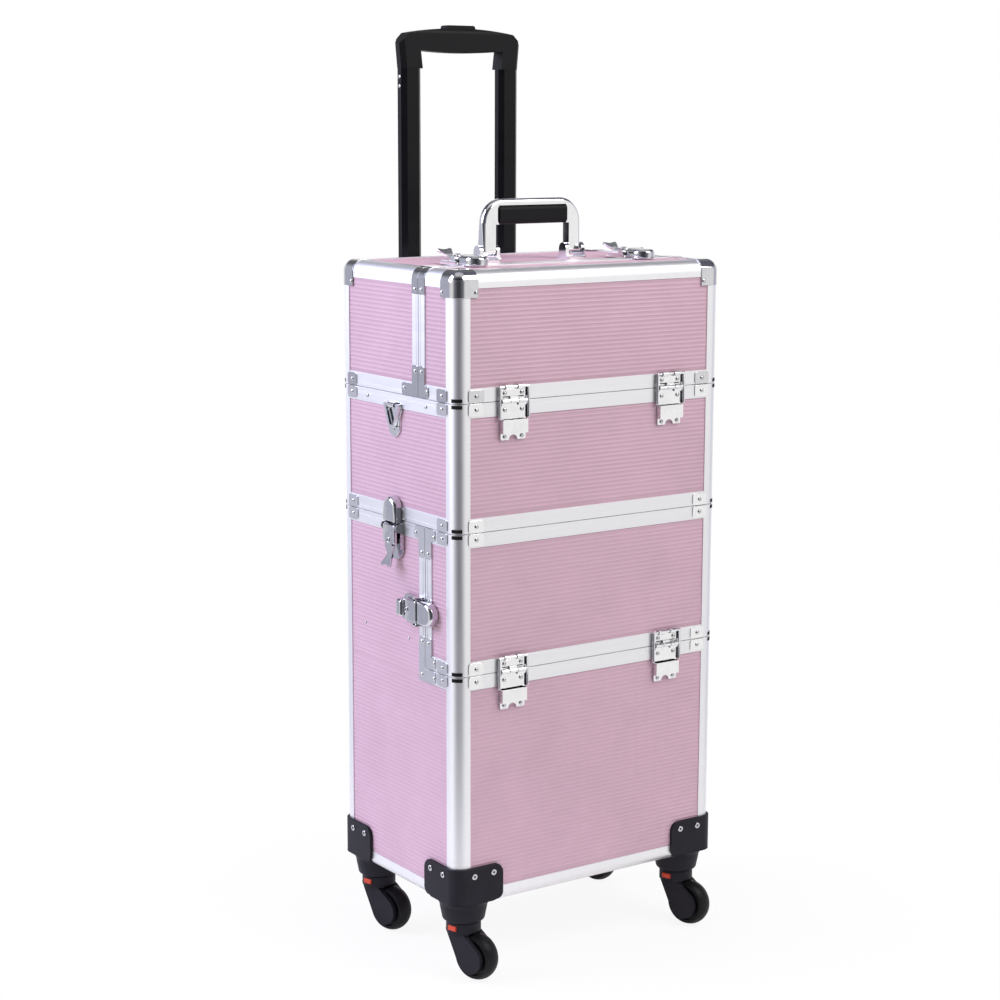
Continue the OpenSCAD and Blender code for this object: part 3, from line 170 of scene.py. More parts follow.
PINK = (0.600, 0.394, 0.478)
M_BOARD = laminate("laminate", PINK)
# The rib crests take a lighter copy of the laminate: a painted highlight where light catches the crests.
M_CREST_HIGHLIGHT = laminate("laminate_crest_highlight", tint(PINK, 1.13))
M_POST = satin_metal("extrusion", (0.90, 0.90, 0.91), 0.38, 0.5, (3.0, 3.0, 0.15))
M_RIM = satin_metal("extrusion_rim", (0.88, 0.88, 0.89), 0.34, 0.48, (0.15, 0.15, 3.0))
M_CHROME = plated("plated_steel", (0.86, 0.86, 0.87), 0.04, 0.1)
M_CLASP = plated("clasp_steel", (0.66, 0.66, 0.68), 0.03, 0.08)
M_RIVET = plated("rivet_steel", (0.60, 0.60, 0.61), 0.1, 0.2)
# Near-black laid in the hinge gaps, screw cross slots and key slots: painted shade where those gaps and
# recesses are.
M_SHADE = moulded("painted_recess_shade", (0.008, 0.008, 0.008), 0.4, 0.6)
M_BLACK = moulded("black_moulding", (0.014, 0.013, 0.018), 0.4, 0.55)
M_TUBE = moulded("black_tube", (0.004, 0.004, 0.005), 0.28, 0.4, 2600.0, 0.12)
M_GRIP = moulded("black_grip", (0.005, 0.005, 0.006), 0.42, 0.58, 900.0, 0.5)
M_TREAD = moulded("black_tread", (0.008, 0.008, 0.009), 0.34, 0.5, 700.0, 0.3)
M_RUBBER = moulded("black_rubber", (0.007, 0.007, 0.007), 0.5, 0.65)
M_TAB = moulded("red_tab", (0.60, 0.075, 0.04), 0.25, 0.36)
M_TRAY = moulded("tray_black", (0.012, 0.012, 0.013), 0.42, 0.58)

SLOT_MATERIAL = {
    "board": M_BOARD, "profile": M_POST, "plated": M_CHROME, "black_plastic": M_BLACK,
    "black_tube": M_TUBE, "wheel": M_TREAD, "tab": M_TAB, "tray": M_TRAY,
}
GRIPS = ("handle_grip", "trolley_grip", "trolley_button")
CLASPS = ("side_clasp_bases", "case_lever_left", "case_lever_right", "door_lever_left", "door_lever_right")
CORNERS = ("front_lid_corners", "rear_lid_corners")
NODE_MATERIAL = {name: M_GRIP for name in GRIPS} | {name: M_CLASP for name in CLASPS + CORNERS}
for part in frame["record"]["subparts"]:
    cad = frame["nodes"][part["node"]]
    chosen = NODE_MATERIAL.get(part["node"], SLOT_MATERIAL[part["material_slot"]])
    cad.data.materials.clear()
    cad.data.materials.append(chosen)


# Mesh helpers: places are given on an outer face of the case

def at(face, u, v, w=0.0):
    """World point for a face, in metres: u and v along the face, w outwards from its outer plane."""
    point = {
        "front": (u, -HALF_D - w, v), "back": (u, HALF_D + w, v), "left": (-HALF_W - w, u, v),
        "right": (HALF_W + w, u, v), "top": (u, v, Z_TOP + w),
    }[face]
    return Vector(point) * MM


class Piece:
    """A mesh that grows from several forms and then rides on one body."""

    def __init__(self, name, body, material, slot):
        self.name, self.body, self.material, self.slot = name, body, material, slot
        self.extra = []
        self.bm = bmesh.new()

    def prism(self, face, outline, w0, w1, inset=0.0, steps=1):
        """Outline in (u, v) between two heights; the upper edge is drawn in by inset, rounded in steps."""
        cu = sum(p[0] for p in outline) / len(outline)
        cv = sum(p[1] for p in outline) / len(outline)
        def ring(w, d):
            out = []
            for u, v in outline:
                length = math.hypot(u - cu, v - cv) or 1.0
                du, dv = d * (u - cu) / length, d * (v - cv) / length
                out.append(self.bm.verts.new(at(face, u - du, v - dv, w)))
            return out
        rings = [ring(w0, 0.0)]
        rise = inset * math.copysign(1, w1 - w0)
        for i in range(steps + 1) if inset else (steps,):
            a = math.pi / 2 * i / steps
            rings.append(ring(w1 - rise * (1 - math.sin(a)), inset * (1 - math.cos(a))))
        for a, b in zip(rings, rings[1:]):
            for i in range(len(a)):
                j = (i + 1) % len(a)
                self.bm.faces.new((a[i], a[j], b[j], b[i]))
        self.bm.faces.new(rings[0])
        self.bm.faces.new(rings[-1])

    def box(self, face, u0, v0, u1, v1, w0, w1, inset=0.0):
        self.prism(face, [(u0, v0), (u1, v0), (u1, v1), (u0, v1)], w0, w1, inset)

    def lathe(self, origin, axis, profile, n=20, hollow=False):
        """Form turned about an axis: profile lists (radius, height) in millimetres; hollow makes a ring."""
        turn = Vector(axis).to_track_quat("Z", "Y").to_matrix()
        rings = []
        for r, h in profile:
            if r <= 0:
                rings.append([self.bm.verts.new(Vector(origin) + turn @ Vector((0, 0, h)) * MM)])
                continue
            rings.append([
                self.bm.verts.new(Vector(origin) + turn @ Vector(
                    (r * math.cos(2 * math.pi * i / n), r * math.sin(2 * math.pi * i / n), h)) * MM)
                for i in range(n)])
        for a, b in zip(rings, rings[1:] + rings[:1] if hollow else rings[1:]):
            for i in range(n):
                j = (i + 1) % n
                if len(a) == 1 and len(b) > 1:
                    self.bm.faces.new((a[0], b[j], b[i]))
                elif len(b) == 1 and len(a) > 1:
                    self.bm.faces.new((a[i], a[j], b[0]))
                elif len(a) > 1:
                    self.bm.faces.new((a[i], a[j], b[j], b[i]))
        for end in () if hollow else (rings[0], rings[-1]):
            if len(end) > 1:
                self.bm.faces.new(end)

    def make(self, smooth=35.0):
        bmesh.ops.recalc_face_normals(self.bm, faces=self.bm.faces)
        mesh = bpy.data.meshes.new(self.name)
        self.bm.to_mesh(mesh)
        self.bm.free()
        mesh.materials.append(self.material)
        for extra in self.extra:
            mesh.materials.append(extra)
        made = bpy.data.objects.new(self.name, mesh)
        bpy.context.collection.objects.link(made)
        if smooth:
            mesh.shade_smooth()
            mesh.set_sharp_from_angle(angle=math.radians(smooth))
        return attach(made, self.body)


NORMAL = {"front": (0, -1, 0), "back": (0, 1, 0), "left": (-1, 0, 0), "right": (1, 0, 0), "top": (0, 0, 1)}


def end_face(sy):
    return "front" if sy < 0 else "back"


def side_face(sx):
    return "left" if sx < 0 else "right"


# Ribbed laminate over the boards

RIB_PITCH, RIB_BASE, RIB_CREST, RIB_CLEAR, RIB_MARGIN = 4.5, 0.12, 0.3, 0.03, 0.5
RIB_SECTION = [(0.0, RIB_BASE), (3.1, RIB_BASE), (3.4, 0.31), (3.65, 0.36), (3.9, 0.36), (4.15, 0.31)]


def ribbed(name, body, face, u0, u1, v0, v1):
    """Ribbed skin on a board: ribs run along u, and repeat along v from the lower edge."""
    piece = Piece(name, body, M_BOARD, "board")
    piece.extra = [M_CREST_HIGHLIGHT]
    u0, u1 = u0 + RIB_CLEAR, u1 - RIB_CLEAR
    v0, v1 = v0 + RIB_CLEAR, v1 - RIB_CLEAR
    rows = [(v0, 0.0)]
    count = int((v1 - v0 - RIB_MARGIN) / RIB_PITCH)
    start = v0 + (v1 - v0 - count * RIB_PITCH) / 2
    for k in range(count):
        for dv, h in RIB_SECTION:
            rows.append((start + k * RIB_PITCH + dv, h))
    rows += [(start + count * RIB_PITCH, RIB_BASE), (v1, 0.0)]
    lines = [[piece.bm.verts.new(at(face, u, v, h - FLANGE_T)) for u in (u0, u1)] for v, h in rows]
    for (a, ra), (b, rb) in zip(zip(lines, rows), zip(lines[1:], rows[1:])):
        made = piece.bm.faces.new((a[0], a[1], b[1], b[0]))
        # Faces above the RIB_CREST height take the lighter laminate, a painted highlight on the crests.
        made.material_index = 1 if min(ra[1], rb[1]) > RIB_CREST else 0
    for end in (0, 1):
        foot = [piece.bm.verts.new(at(face, (u0, u1)[end], v, -FLANGE_T)) for v, _ in rows]
        for i in range(len(rows) - 1):
            piece.bm.faces.new((lines[i][end], lines[i + 1][end], foot[i + 1], foot[i]))
    return piece.make(50.0)


BOARD_X, BOARD_Y = HALF_W - FLANGE_W, HALF_D - FLANGE_W
BOARD_FOOT, BOARD_TOP = Z_CASE + FLANGE_W, Z_TOP - FLANGE_W
ribbed("ribs_lower_front", "lower_case", "front", -BOARD_X, BOARD_X, BOARD_FOOT, Z_DOOR - RIM_W)
ribbed("ribs_door_front", "door", "front", -BOARD_X, BOARD_X, Z_DOOR + RIM_W, Z_BOX - RIM_W)
ribbed("ribs_upper_front", "upper_box", "front", -BOARD_X, BOARD_X, Z_BOX + RIM_W, Z_LID - RIM_W)
ribbed("ribs_lid_front", "front_lid", "front", -BOARD_X, BOARD_X, Z_LID + RIM_W, BOARD_TOP)
ribbed("ribs_lower_back", "lower_case", "back", -BOARD_X, BOARD_X, BOARD_FOOT, Z_BOX - RIM_W)
ribbed("ribs_upper_back", "upper_box", "back", -BOARD_X, BOARD_X, Z_BOX + RIM_W, Z_LID - RIM_W)
ribbed("ribs_lid_back", "rear_lid", "back", -BOARD_X, BOARD_X, Z_LID + RIM_W, BOARD_TOP)
ribbed("ribs_front_lid_top", "front_lid", "top", -BOARD_X, BOARD_X, -BOARD_Y, Y_LID - JAMB_W)
ribbed("ribs_rear_lid_top", "rear_lid", "top", -BOARD_X, BOARD_X, Y_LID + JAMB_W, BOARD_Y)
for side in ("left", "right"):
    ribbed(f"ribs_lower_{side}", "lower_case", side, -BOARD_Y, BOARD_Y, BOARD_FOOT, Z_DOOR - RIM_W)
    ribbed(f"ribs_jamb_{side}", "lower_case", side, Y_DOOR + JAMB_W, BOARD_Y, Z_DOOR - RIM_W, Z_BOX - RIM_W)
    ribbed(f"ribs_door_{side}", "door", side, -BOARD_Y, Y_DOOR - JAMB_W, Z_DOOR + RIM_W, Z_BOX - RIM_W)
    ribbed(f"ribs_upper_{side}", "upper_box", side, -BOARD_Y, BOARD_Y, Z_BOX + RIM_W, Z_LID - RIM_W)
    ribbed(f"ribs_front_lid_{side}", "front_lid", side, -BOARD_Y, Y_LID - JAMB_W, Z_LID + RIM_W, BOARD_TOP)
    ribbed(f"ribs_rear_lid_{side}", "rear_lid", side, Y_LID + JAMB_W, BOARD_Y, Z_LID + RIM_W, BOARD_TOP)


# Rivets of the seam plates and the stay hinges

RIVET = [(2.5, -0.3), (2.5, 0.0), (2.35, 0.35), (1.8, 0.85), (1.0, 1.15), (0.0, 1.25)]
SMALL_RIVET = [(r * 0.72, h * 0.8) for r, h in RIVET]
rivets = {}


def rivet(body, face, u, v, w=PLATE_T, profile=RIVET):
    if body not in rivets:
        rivets[body] = Piece(f"rivets_{body}", body, M_RIVET, "plated")
    rivets[body].lathe(at(face, u, v, w), NORMAL[face], profile)


CORNER, SEAM_OFF = 24.5, 6.8
LEVEL_SEAMS = [
    (Z_DOOR, -1, "lower_case", "door"), (Z_BOX, -1, "door", "upper_box"),
    (Z_LID, -1, "upper_box", "front_lid"),
    (Z_BOX, 1, "lower_case", "upper_box"), (Z_LID, 1, "upper_box", "rear_lid"),
]
for z, sy, below, above in LEVEL_SEAMS:
    for sx in (-1, 1):
        for body, dz in ((below, -SEAM_OFF), (above, SEAM_OFF)):
            rivet(body, end_face(sy), sx * (HALF_W - CORNER), z + dz)
            rivet(body, side_face(sx), sy * (HALF_D - CORNER), z + dz)

HINGE_X, HINGE_RIVET_U = 101.0, 10.5
RIVET_UP, RIVET_DOWN, FOOT_RIVET_DOWN = 8.0, 9.0, 36.5
HINGE_SEAMS = ((Z_DOOR, "lower_case", "door"), (Z_LID, "upper_box", "front_lid"))
for z, below, above in HINGE_SEAMS:
    for sx in (-1, 1):
        for du in (-HINGE_RIVET_U, HINGE_RIVET_U):
            rivet(above, "front", sx * HINGE_X + du, z + RIVET_UP, LEAF_T)
            rivet(below, "front", sx * HINGE_X + du, z - RIVET_DOWN, LEAF_T)
            rivet(below, "front", sx * HINGE_X + du, z - FOOT_RIVET_DOWN, LEAF_T)


# Painted shade and painted reflection at the stay hinges: dark strips beside the leaves, along the barrels
# and under the pockets, where the gaps are and the chrome reflects dark

GAP_U, GAP_W, GAP_Z, GAP_FOOT, GAP_TOP = 16.6, 0.55, 4.2, 18.5, 13.5
POCKET_FOOT, POCKET_HALF, POCKET_PROUD = 33.2, 13.0, LEAF_T + 0.12
gap_shades = {}


def gap(body, u, half, v0, v1, w):
    """Dark strip of painted shade on the front, from v0 to v1 and to half on both sides of u."""
    if body not in gap_shades:
        gap_shades[body] = Piece(f"hinge_gap_shades_{body}", body, M_SHADE, "black_plastic")
    gap_shades[body].box("front", u - half, v0, u + half, v1, 0.0, w)


for z, below, above in HINGE_SEAMS:
    for u in (-HINGE_X, HINGE_X):
        for s in (-1, 1):
            gap(above, u + s * GAP_U, GAP_W, z + GAP_Z, z + GAP_TOP, LEAF_T)
            gap(below, u + s * GAP_U, GAP_W, z - GAP_FOOT, z - GAP_Z, LEAF_T)
        gap(above, u, POCKET_HALF, z + GAP_Z - GAP_W, z + GAP_Z + GAP_W, POCKET_PROUD)
        gap(below, u, POCKET_HALF, z - POCKET_FOOT - GAP_W, z - POCKET_FOOT + GAP_W, POCKET_PROUD)
for piece in gap_shades.values():
    piece.make()


# Black rubber inserts where the corner posts meet

INSERT_ARC, INSERT_STEPS, INSERT_H, INSERT_OFF = (18.0, 72.0), 8, 3.6, 1.4
INSERT_INNER, INSERT_OUTER = EDGE_R - 0.2, EDGE_R + 0.45


def insert(piece, sx, sy, z0, z1):
    """Short band around a rounded corner post."""
    cx, cy = HALF_W - EDGE_R, HALF_D - EDGE_R
    rings = []
    for r, z in ((INSERT_INNER, z0), (INSERT_OUTER, z0), (INSERT_OUTER, z1), (INSERT_INNER, z1)):
        ring = []
        for i in range(INSERT_STEPS + 1):
            a = math.radians(INSERT_ARC[0] + (INSERT_ARC[1] - INSERT_ARC[0]) * i / INSERT_STEPS)
            x, y = cx + r * math.cos(a), cy + r * math.sin(a)
            ring.append(piece.bm.verts.new(Vector((sx * x, sy * y, z)) * MM))
        rings.append(ring)
    for a, b in zip(rings, rings[1:] + rings[:1]):
        for i in range(INSERT_STEPS):
            piece.bm.faces.new((a[i], a[i + 1], b[i + 1], b[i]))
    for end in (0, INSERT_STEPS):
        piece.bm.faces.new([ring[end] for ring in rings])


inserts = {}
for z, sy, below, above in LEVEL_SEAMS:
    for sx in (-1, 1):
        for body, z0 in ((below, z - INSERT_OFF - INSERT_H), (above, z + INSERT_OFF)):
            if body not in inserts:
                inserts[body] = Piece(f"inserts_{body}", body, M_RUBBER, "black_plastic")
            insert(inserts[body], sx, sy, z0, z0 + INSERT_H)
for piece in inserts.values():
    piece.make()


# Lands along the seam profiles: two raised strips with a groove between them

LANDS = ((0.7, 4.4), (5.3, 14.3))
UPRIGHT_LANDS = ((0.7, 3.6), (4.5, 11.4))
LAND_H, LAND_SINK, LAND_EDGE = 0.22, 0.15, 0.15
LAND_END, LAND_FOOT, LAND_STOP = 0.3, 0.5, 0.8
LAND_X, LAND_Y = BOARD_X - LAND_END, BOARD_Y - LAND_END
lands = {}


def land(body, face, u0, v0, u1, v1):
    if body not in lands:
        lands[body] = Piece(f"lands_{body}", body, M_RIM, "profile")
    lands[body].box(face, u0, v0, u1, v1, -LAND_SINK, LAND_H, LAND_EDGE)


for z, sy, below, above in LEVEL_SEAMS:
    for body, s in ((below, -1), (above, 1)):
        for a, b in LANDS:
            lo, hi = sorted((z + s * a, z + s * b))
            land(body, end_face(sy), -LAND_X, lo, LAND_X, hi)
for side in ("left", "right"):
    for a, b in LANDS:
        land("lower_case", side, -LAND_Y, Z_DOOR - b, Y_DOOR, Z_DOOR - a)
        land("door", side, -LAND_Y, Z_DOOR + a, Y_DOOR - JAMB_W, Z_DOOR + b)
        land("lower_case", side, Y_DOOR + JAMB_W, Z_BOX - b, LAND_Y, Z_BOX - a)
        land("door", side, -LAND_Y, Z_BOX - b, Y_DOOR - JAMB_W, Z_BOX - a)
        land("upper_box", side, -LAND_Y, Z_BOX + a, LAND_Y, Z_BOX + b)
        land("upper_box", side, -LAND_Y, Z_LID - b, LAND_Y, Z_LID - a)
        land("front_lid", side, -LAND_Y, Z_LID + a, Y_LID - JAMB_W, Z_LID + b)
        land("rear_lid", side, Y_LID + JAMB_W, Z_LID + a, LAND_Y, Z_LID + b)
    for a, b in UPRIGHT_LANDS:
        land("lower_case", side, Y_DOOR + a, Z_DOOR - RIM_W + LAND_FOOT, Y_DOOR + b, Z_BOX - LAND_STOP)
        land("door", side, Y_DOOR - b, Z_DOOR + LAND_STOP, Y_DOOR - a, Z_BOX - LAND_STOP)
        land("front_lid", side, Y_LID - b, Z_LID + LAND_STOP, Y_LID - a, BOARD_TOP - LAND_END)
        land("rear_lid", side, Y_LID + a, Z_LID + LAND_STOP, Y_LID + b, BOARD_TOP - LAND_END)
for a, b in UPRIGHT_LANDS:
    land("front_lid", "top", -LAND_X, Y_LID - b, LAND_X, Y_LID - a)
    land("rear_lid", "top", -LAND_X, Y_LID + a, LAND_X, Y_LID + b)
for piece in lands.values():
    piece.make()


# Rivets of the angle plates, straps, rims and boards on both sides

BRACKET_U, BRACKET_V, ARM_U, ARM_V, REAR_ARM_U = 6.0, 27.0, 17.0, 8.0, 27.0
STRAP_RIVET_Z, STRAP_T = Z_TOP - 22.0, 0.8
RIM_RIVETS_Y = (56.7, -57.7)
BOARD_RIVETS_Y, BOARD_RIVET_Z, BOARD_RIVET_W = (-20.8, 66.7), Z_CASE + 273.6, -0.8
for side in ("left", "right"):
    for body, s in (("lower_case", 1), ("door", -1)):
        rivet(body, side, Y_DOOR + s * BRACKET_U, Z_BOX - BRACKET_V)
        rivet(body, side, Y_DOOR + s * ARM_U, Z_BOX - ARM_V)
        rivet(body, side, Y_DOOR + s * BRACKET_U, Z_DOOR + BRACKET_V)
    rivet("door", side, Y_DOOR - ARM_U, Z_DOOR + ARM_V)
    rivet("lower_case", side, Y_DOOR + BRACKET_U, Z_DOOR - ARM_V)
    rivet("lower_case", side, Y_DOOR - ARM_U, Z_DOOR - ARM_V)
    for body, s in (("front_lid", -1), ("rear_lid", 1)):
        rivet(body, side, Y_LID + s * BRACKET_U, Z_LID + BRACKET_V)
        rivet(body, side, Y_LID + s * BRACKET_U, STRAP_RIVET_Z, STRAP_T)
    rivet("front_lid", side, Y_LID - ARM_U, Z_LID + ARM_V)
    rivet("rear_lid", side, Y_LID + REAR_ARM_U, Z_LID + ARM_V)
    for u in RIM_RIVETS_Y:
        rivet("upper_box", side, u, Z_LID - ARM_V, LAND_H)
    for u in BOARD_RIVETS_Y:
        rivet("lower_case", side, u, BOARD_RIVET_Z, BOARD_RIVET_W, SMALL_RIVET)


# Cross-head screws of the caster brackets and of the trolley tubes

SCREW = [(3.3, -0.5), (3.3, 0.25), (3.0, 0.6), (2.2, 0.75), (1.2, 0.45), (0.0, 0.35)]
WASHER = [(4.3, -0.2), (4.3, 0.15), (3.9, 0.35), (3.4, 0.3), (3.3, 0.0)]
CUP_T, SCREW_W = 3.0, 0.15
CUP_SCREWS = ((21.0, Z_CASE + 35.0), (45.0, Z_CASE + 35.5))
CROSS_LONG, CROSS_WIDE, CROSS_TURN, CROSS_W = 1.5, 0.3, 25.0, (CUP_T + 0.3, CUP_T + 0.95)


def cross(u, v, turn):
    """Outline of one arm of a cross slot, turned about its middle."""
    c, s = math.cos(math.radians(turn)), math.sin(math.radians(turn))
    corners = [(a * CROSS_LONG, b * CROSS_WIDE) for a, b in ((-1, -1), (1, -1), (1, 1), (-1, 1))]
    return [(u + c * a - s * b, v + s * a + c * b) for a, b in corners]


screws = Piece("bracket_screws", "lower_case", M_RIVET, "plated")
# The cross slots are dark prisms set on the screw heads: painted shade where the recesses are.
slot_shades = Piece("bracket_screw_slot_shades", "lower_case", M_SHADE, "black_plastic")
washers = Piece("bracket_screw_wells", "lower_case", M_BLACK, "black_plastic")
for sx in (-1, 1):
    for sy in (-1, 1):
        for d, z in CUP_SCREWS:
            for face, u in ((end_face(sy), sx * (HALF_W - d)), (side_face(sx), sy * (HALF_D - d))):
                screws.lathe(at(face, u, z, CUP_T + SCREW_W), NORMAL[face], SCREW)
                washers.lathe(at(face, u, z, CUP_T), NORMAL[face], WASHER, 24, True)
                for turn in (CROSS_TURN, CROSS_TURN + 90.0):
                    slot_shades.prism(face, cross(u, z, turn), *CROSS_W)
screws.make()
slot_shades.make()
washers.make()

TUBE_TOP, TUBE_W, TUBE_SCREWS_DOWN = Z_CASE + 864.0, 25.0, (9.0, 19.0)
FLUSH_SCREW = [(2.05, -0.2), (2.05, 0.15), (1.7, 0.25), (0.0, 0.25)]
tube_screws = Piece("tube_screws", "trolley_inner", M_RIVET, "plated")
for sx in (-1, 1):
    for dz in TUBE_SCREWS_DOWN:
        place = Vector((sx * (TUBE_X + TUBE_W / 2), TUBE_Y, TUBE_TOP - dz)) * MM
        tube_screws.lathe(place, (sx, 0, 0), FLUSH_SCREW)
tube_screws.make()


# Caster brackets: a sheet round the case corner, and a funnel below it that narrows to the neck

CUP_REACH, CUP_RISE, CUP_R, CUP_FOOT, CUP_FOOT_R = 57.0, 44.0, 10.0, 5.0, 7.0
CUP_SINK, CUP_EDGE, CUP_STEPS = 0.4, 0.6, 8
CASTER_IN, BORE_R, BORE_TOP = 26.5, 9.0, 4.0
NECK_TOP_R, NECK_R, NECK_H, NECK_ROLL, NECK_STEPS = 25.0, 22.8, 19.5, 3.0, 4
FUNNEL_TOP, FUNNEL_RIM, FUNNEL_H, FUNNEL_GAP, FUNNEL_R = 5.4, 1.2, 9.5, 0.1, 14.4
FUNNEL_STEPS, FUNNEL_SIDES = 8, 72


def round_drop(past, r):
    """Height lost on a rounded corner of radius r, where its outline runs past the start of the arc."""
    return r - math.sqrt(max(r * r - max(past, 0.0) ** 2, 0.0))


def cup_columns():
    """Plan points and outward normals round the case corner, with the run of the sheet from its middle."""
    turns = [math.pi / 2 * i / CUP_STEPS for i in range(CUP_STEPS, -1, -1)]
    runs = [CUP_REACH - CUP_R * (1 - math.sin(a)) for a in turns]
    out = [(run, (HALF_W - run, HALF_D), (0, 1)) for run in runs]
    for a in turns:
        c, s = math.cos(a), math.sin(a)
        out.append((0.0, (HALF_W - EDGE_R + EDGE_R * c, HALF_D - EDGE_R + EDGE_R * s), (c, s)))
    return out + [(run, (HALF_W, HALF_D - run), (1, 0)) for run in reversed(runs)]


def loft(bm, rings):
    """Quads between rings of equal length, with a face on each end."""
    for a, b in zip(rings, rings[1:]):
        for i in range(len(a)):
            j = (i + 1) % len(a)
            bm.faces.new((a[i], a[j], b[j], b[i]))
    bm.faces.new(rings[0])
    bm.faces.new(rings[-1])


def cup_sheet(bm, sx, sy):
    """Sheet with rounded outer corners and broken edges, bent round one corner of the case."""
    rings = []
    for run, (x, y), (nx, ny) in cup_columns():
        foot = CUP_FOOT + round_drop(run - CUP_REACH + CUP_FOOT_R, CUP_FOOT_R)
        top = CUP_RISE - round_drop(run - CUP_REACH + CUP_R, CUP_R)
        profile = [
            (-CUP_SINK, foot), (CUP_T - CUP_EDGE, foot), (CUP_T, foot + CUP_EDGE),
            (CUP_T, top - CUP_EDGE), (CUP_T - CUP_EDGE, top), (-CUP_SINK, top),
        ]
        places = [(sx * (x + nx * w), sy * (y + ny * w), Z_CASE + z) for w, z in profile]
        rings.append([bm.verts.new(Vector(place) * MM) for place in places])
    loft(bm, rings)


def funnel_reach(c, s):
    """Distance from the swivel axis to the rounded square of the funnel's rim, in direction (c, s)."""
    outside = CASTER_IN + CUP_T - FUNNEL_GAP
    inside = CUP_REACH - CASTER_IN
    hx, hy = outside if c > 0 else inside, outside if s > 0 else inside
    c, s = abs(c), abs(s)
    reach = min(hx / max(c, 1e-9), hy / max(s, 1e-9))
    cx, cy = hx - FUNNEL_R, hy - FUNNEL_R
    if reach * c > cx and reach * s > cy:
        along = c * cx + s * cy
        reach = along + math.sqrt(along ** 2 - cx ** 2 - cy ** 2 + FUNNEL_R ** 2)
    return reach


def cup_funnel(bm, sx, sy):
    """Funnel from its rim to the neck and up the bore: rows hold the rim's share, height and round radius."""
    rows = [(1.0, FUNNEL_TOP, 0.0), (1.0, FUNNEL_TOP - FUNNEL_RIM, 0.0)]
    for i in range(1, FUNNEL_STEPS + 1):
        t = 1 - math.cos(math.pi / 2 * i / FUNNEL_STEPS)
        rows.append((1 - math.sqrt(1 - (1 - t) ** 2), FUNNEL_TOP - FUNNEL_RIM - FUNNEL_H * t, NECK_TOP_R))
    for i in range(NECK_STEPS + 1):
        a = math.pi / 2 * i / NECK_STEPS
        z = NECK_ROLL - NECK_H - NECK_ROLL * math.sin(a)
        rows.append((0.0, z, NECK_R - NECK_ROLL * (1 - math.cos(a))))
    rows += [(0.0, -NECK_H, BORE_R), (0.0, -BORE_TOP, BORE_R)]
    rings = []
    for share, z, least in rows:
        ring = []
        for k in range(FUNNEL_SIDES):
            a = 2 * math.pi * k / FUNNEL_SIDES
            c, s = math.cos(a), math.sin(a)
            r = least + (funnel_reach(c, s) - least) * share
            x, y = HALF_W - CASTER_IN + r * c, HALF_D - CASTER_IN + r * s
            ring.append(bm.verts.new(Vector((sx * x, sy * y, Z_CASE + z)) * MM))
        rings.append(ring)
    loft(bm, rings)


cups = Piece("caster_brackets_formed", "lower_case", M_BLACK, "black_plastic")
for sx in (-1, 1):
    for sy in (-1, 1):
        cup_sheet(cups.bm, sx, sy)
        cup_funnel(cups.bm, sx, sy)
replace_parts(cups.make(40.0), "caster_brackets")


# Rivets of the ball corners, and the locks in the clasp levers

BALL_U, BALL_Y, BALL_Z, BALL_T = 146.0, 88.5, 723.0, 0.8
for body, sy in (("front_lid", -1), ("rear_lid", 1)):
    for sx in (-1, 1):
        rivet(body, end_face(sy), sx * BALL_U, BALL_Z, BALL_T)
        rivet(body, side_face(sx), sy * BALL_Y, BALL_Z, BALL_T)

LOCK_IN, LOCK_FLOOR, LOCK_TOP, LOCK_R = 21.5, 9.1, 10.3, 1.85
CASE_CLASP_Y, DOOR_CLASP_Z, TOP_CLASP_X = 1.0, Z_CASE + 308.0, 108.0
KEY_U, KEY_V, KEY_W = 0.4, 1.2, (LOCK_FLOOR + 0.6, LOCK_FLOOR + 0.75)
COLLAR = [(2.1, -0.2), (2.1, 0.3), (2.4, 0.55), (3.0, 0.55), (3.4, 0.2), (3.4, -0.2)]
PLUG = [(LOCK_R, 0.05), (LOCK_R, 0.5), (LOCK_R - 0.3, 0.7)]


def lock(body, face, u, v):
    """Plug inside the lever's lock hole with a dark key slot, painted shade as a thin box on the plug, and a
    low collar around it.
    """
    collar = Piece(f"lock_{body}", body, M_RIVET, "plated")
    collar.lathe(at(face, u, v, LOCK_TOP), NORMAL[face], COLLAR, 24, True)
    collar.lathe(at(face, u, v, LOCK_FLOOR), NORMAL[face], PLUG, 24)
    collar.make()
    # The key slot is a thin dark box on the plug: painted shade where the keyway is.
    slot = Piece(f"lock_slot_shade_{body}", body, M_SHADE, "black_plastic")
    slot.box(face, u - KEY_U, v - KEY_V, u + KEY_U, v + KEY_V, *KEY_W)
    slot.make()


for side, sx in (("left", -1), ("right", 1)):
    lock(f"case_lever_{side}", side, CASE_CLASP_Y, Z_BOX - LOCK_IN)
    lock(f"door_lever_{side}", side, Y_DOOR + LOCK_IN, DOOR_CLASP_Z)
    lock(f"top_lever_{side}", "top", sx * TOP_CLASP_X, Y_LID + LOCK_IN)


# Fuller clasps: a domed hood on each keeper, a broad shell on each lever, and door levers with a rolled end

HOOD_HALF, HOOD_FOOT, HOOD_ARC, HOOD_W, HOOD_ROLL = 12.5, -2.6, 12.0, (1.0, 10.2), (4.0, 6)
SHELL_HALF, SHELL_TOP, SHELL_FOOT, SHELL_W, SHELL_ROLL = 11.6, -4.8, -25.0, (6.9, 10.2), (1.2, 4)
END_HALF, END_TOP, END_FOOT, END_W, END_ROLL = 9.5, -28.5, -39.5, (5.5, 13.0), (4.2, 6)
BACK_HALF, BACK_TOP, BACK_FOOT, BACK_W = 10.5, -7.0, -33.0, (6.6, 8.6)
PIVOT_IN, PIVOT_H, PIVOT_R = 8.0, 6.0, 3.4
BLOCK_R, DOME_STEPS = 2.0, 20


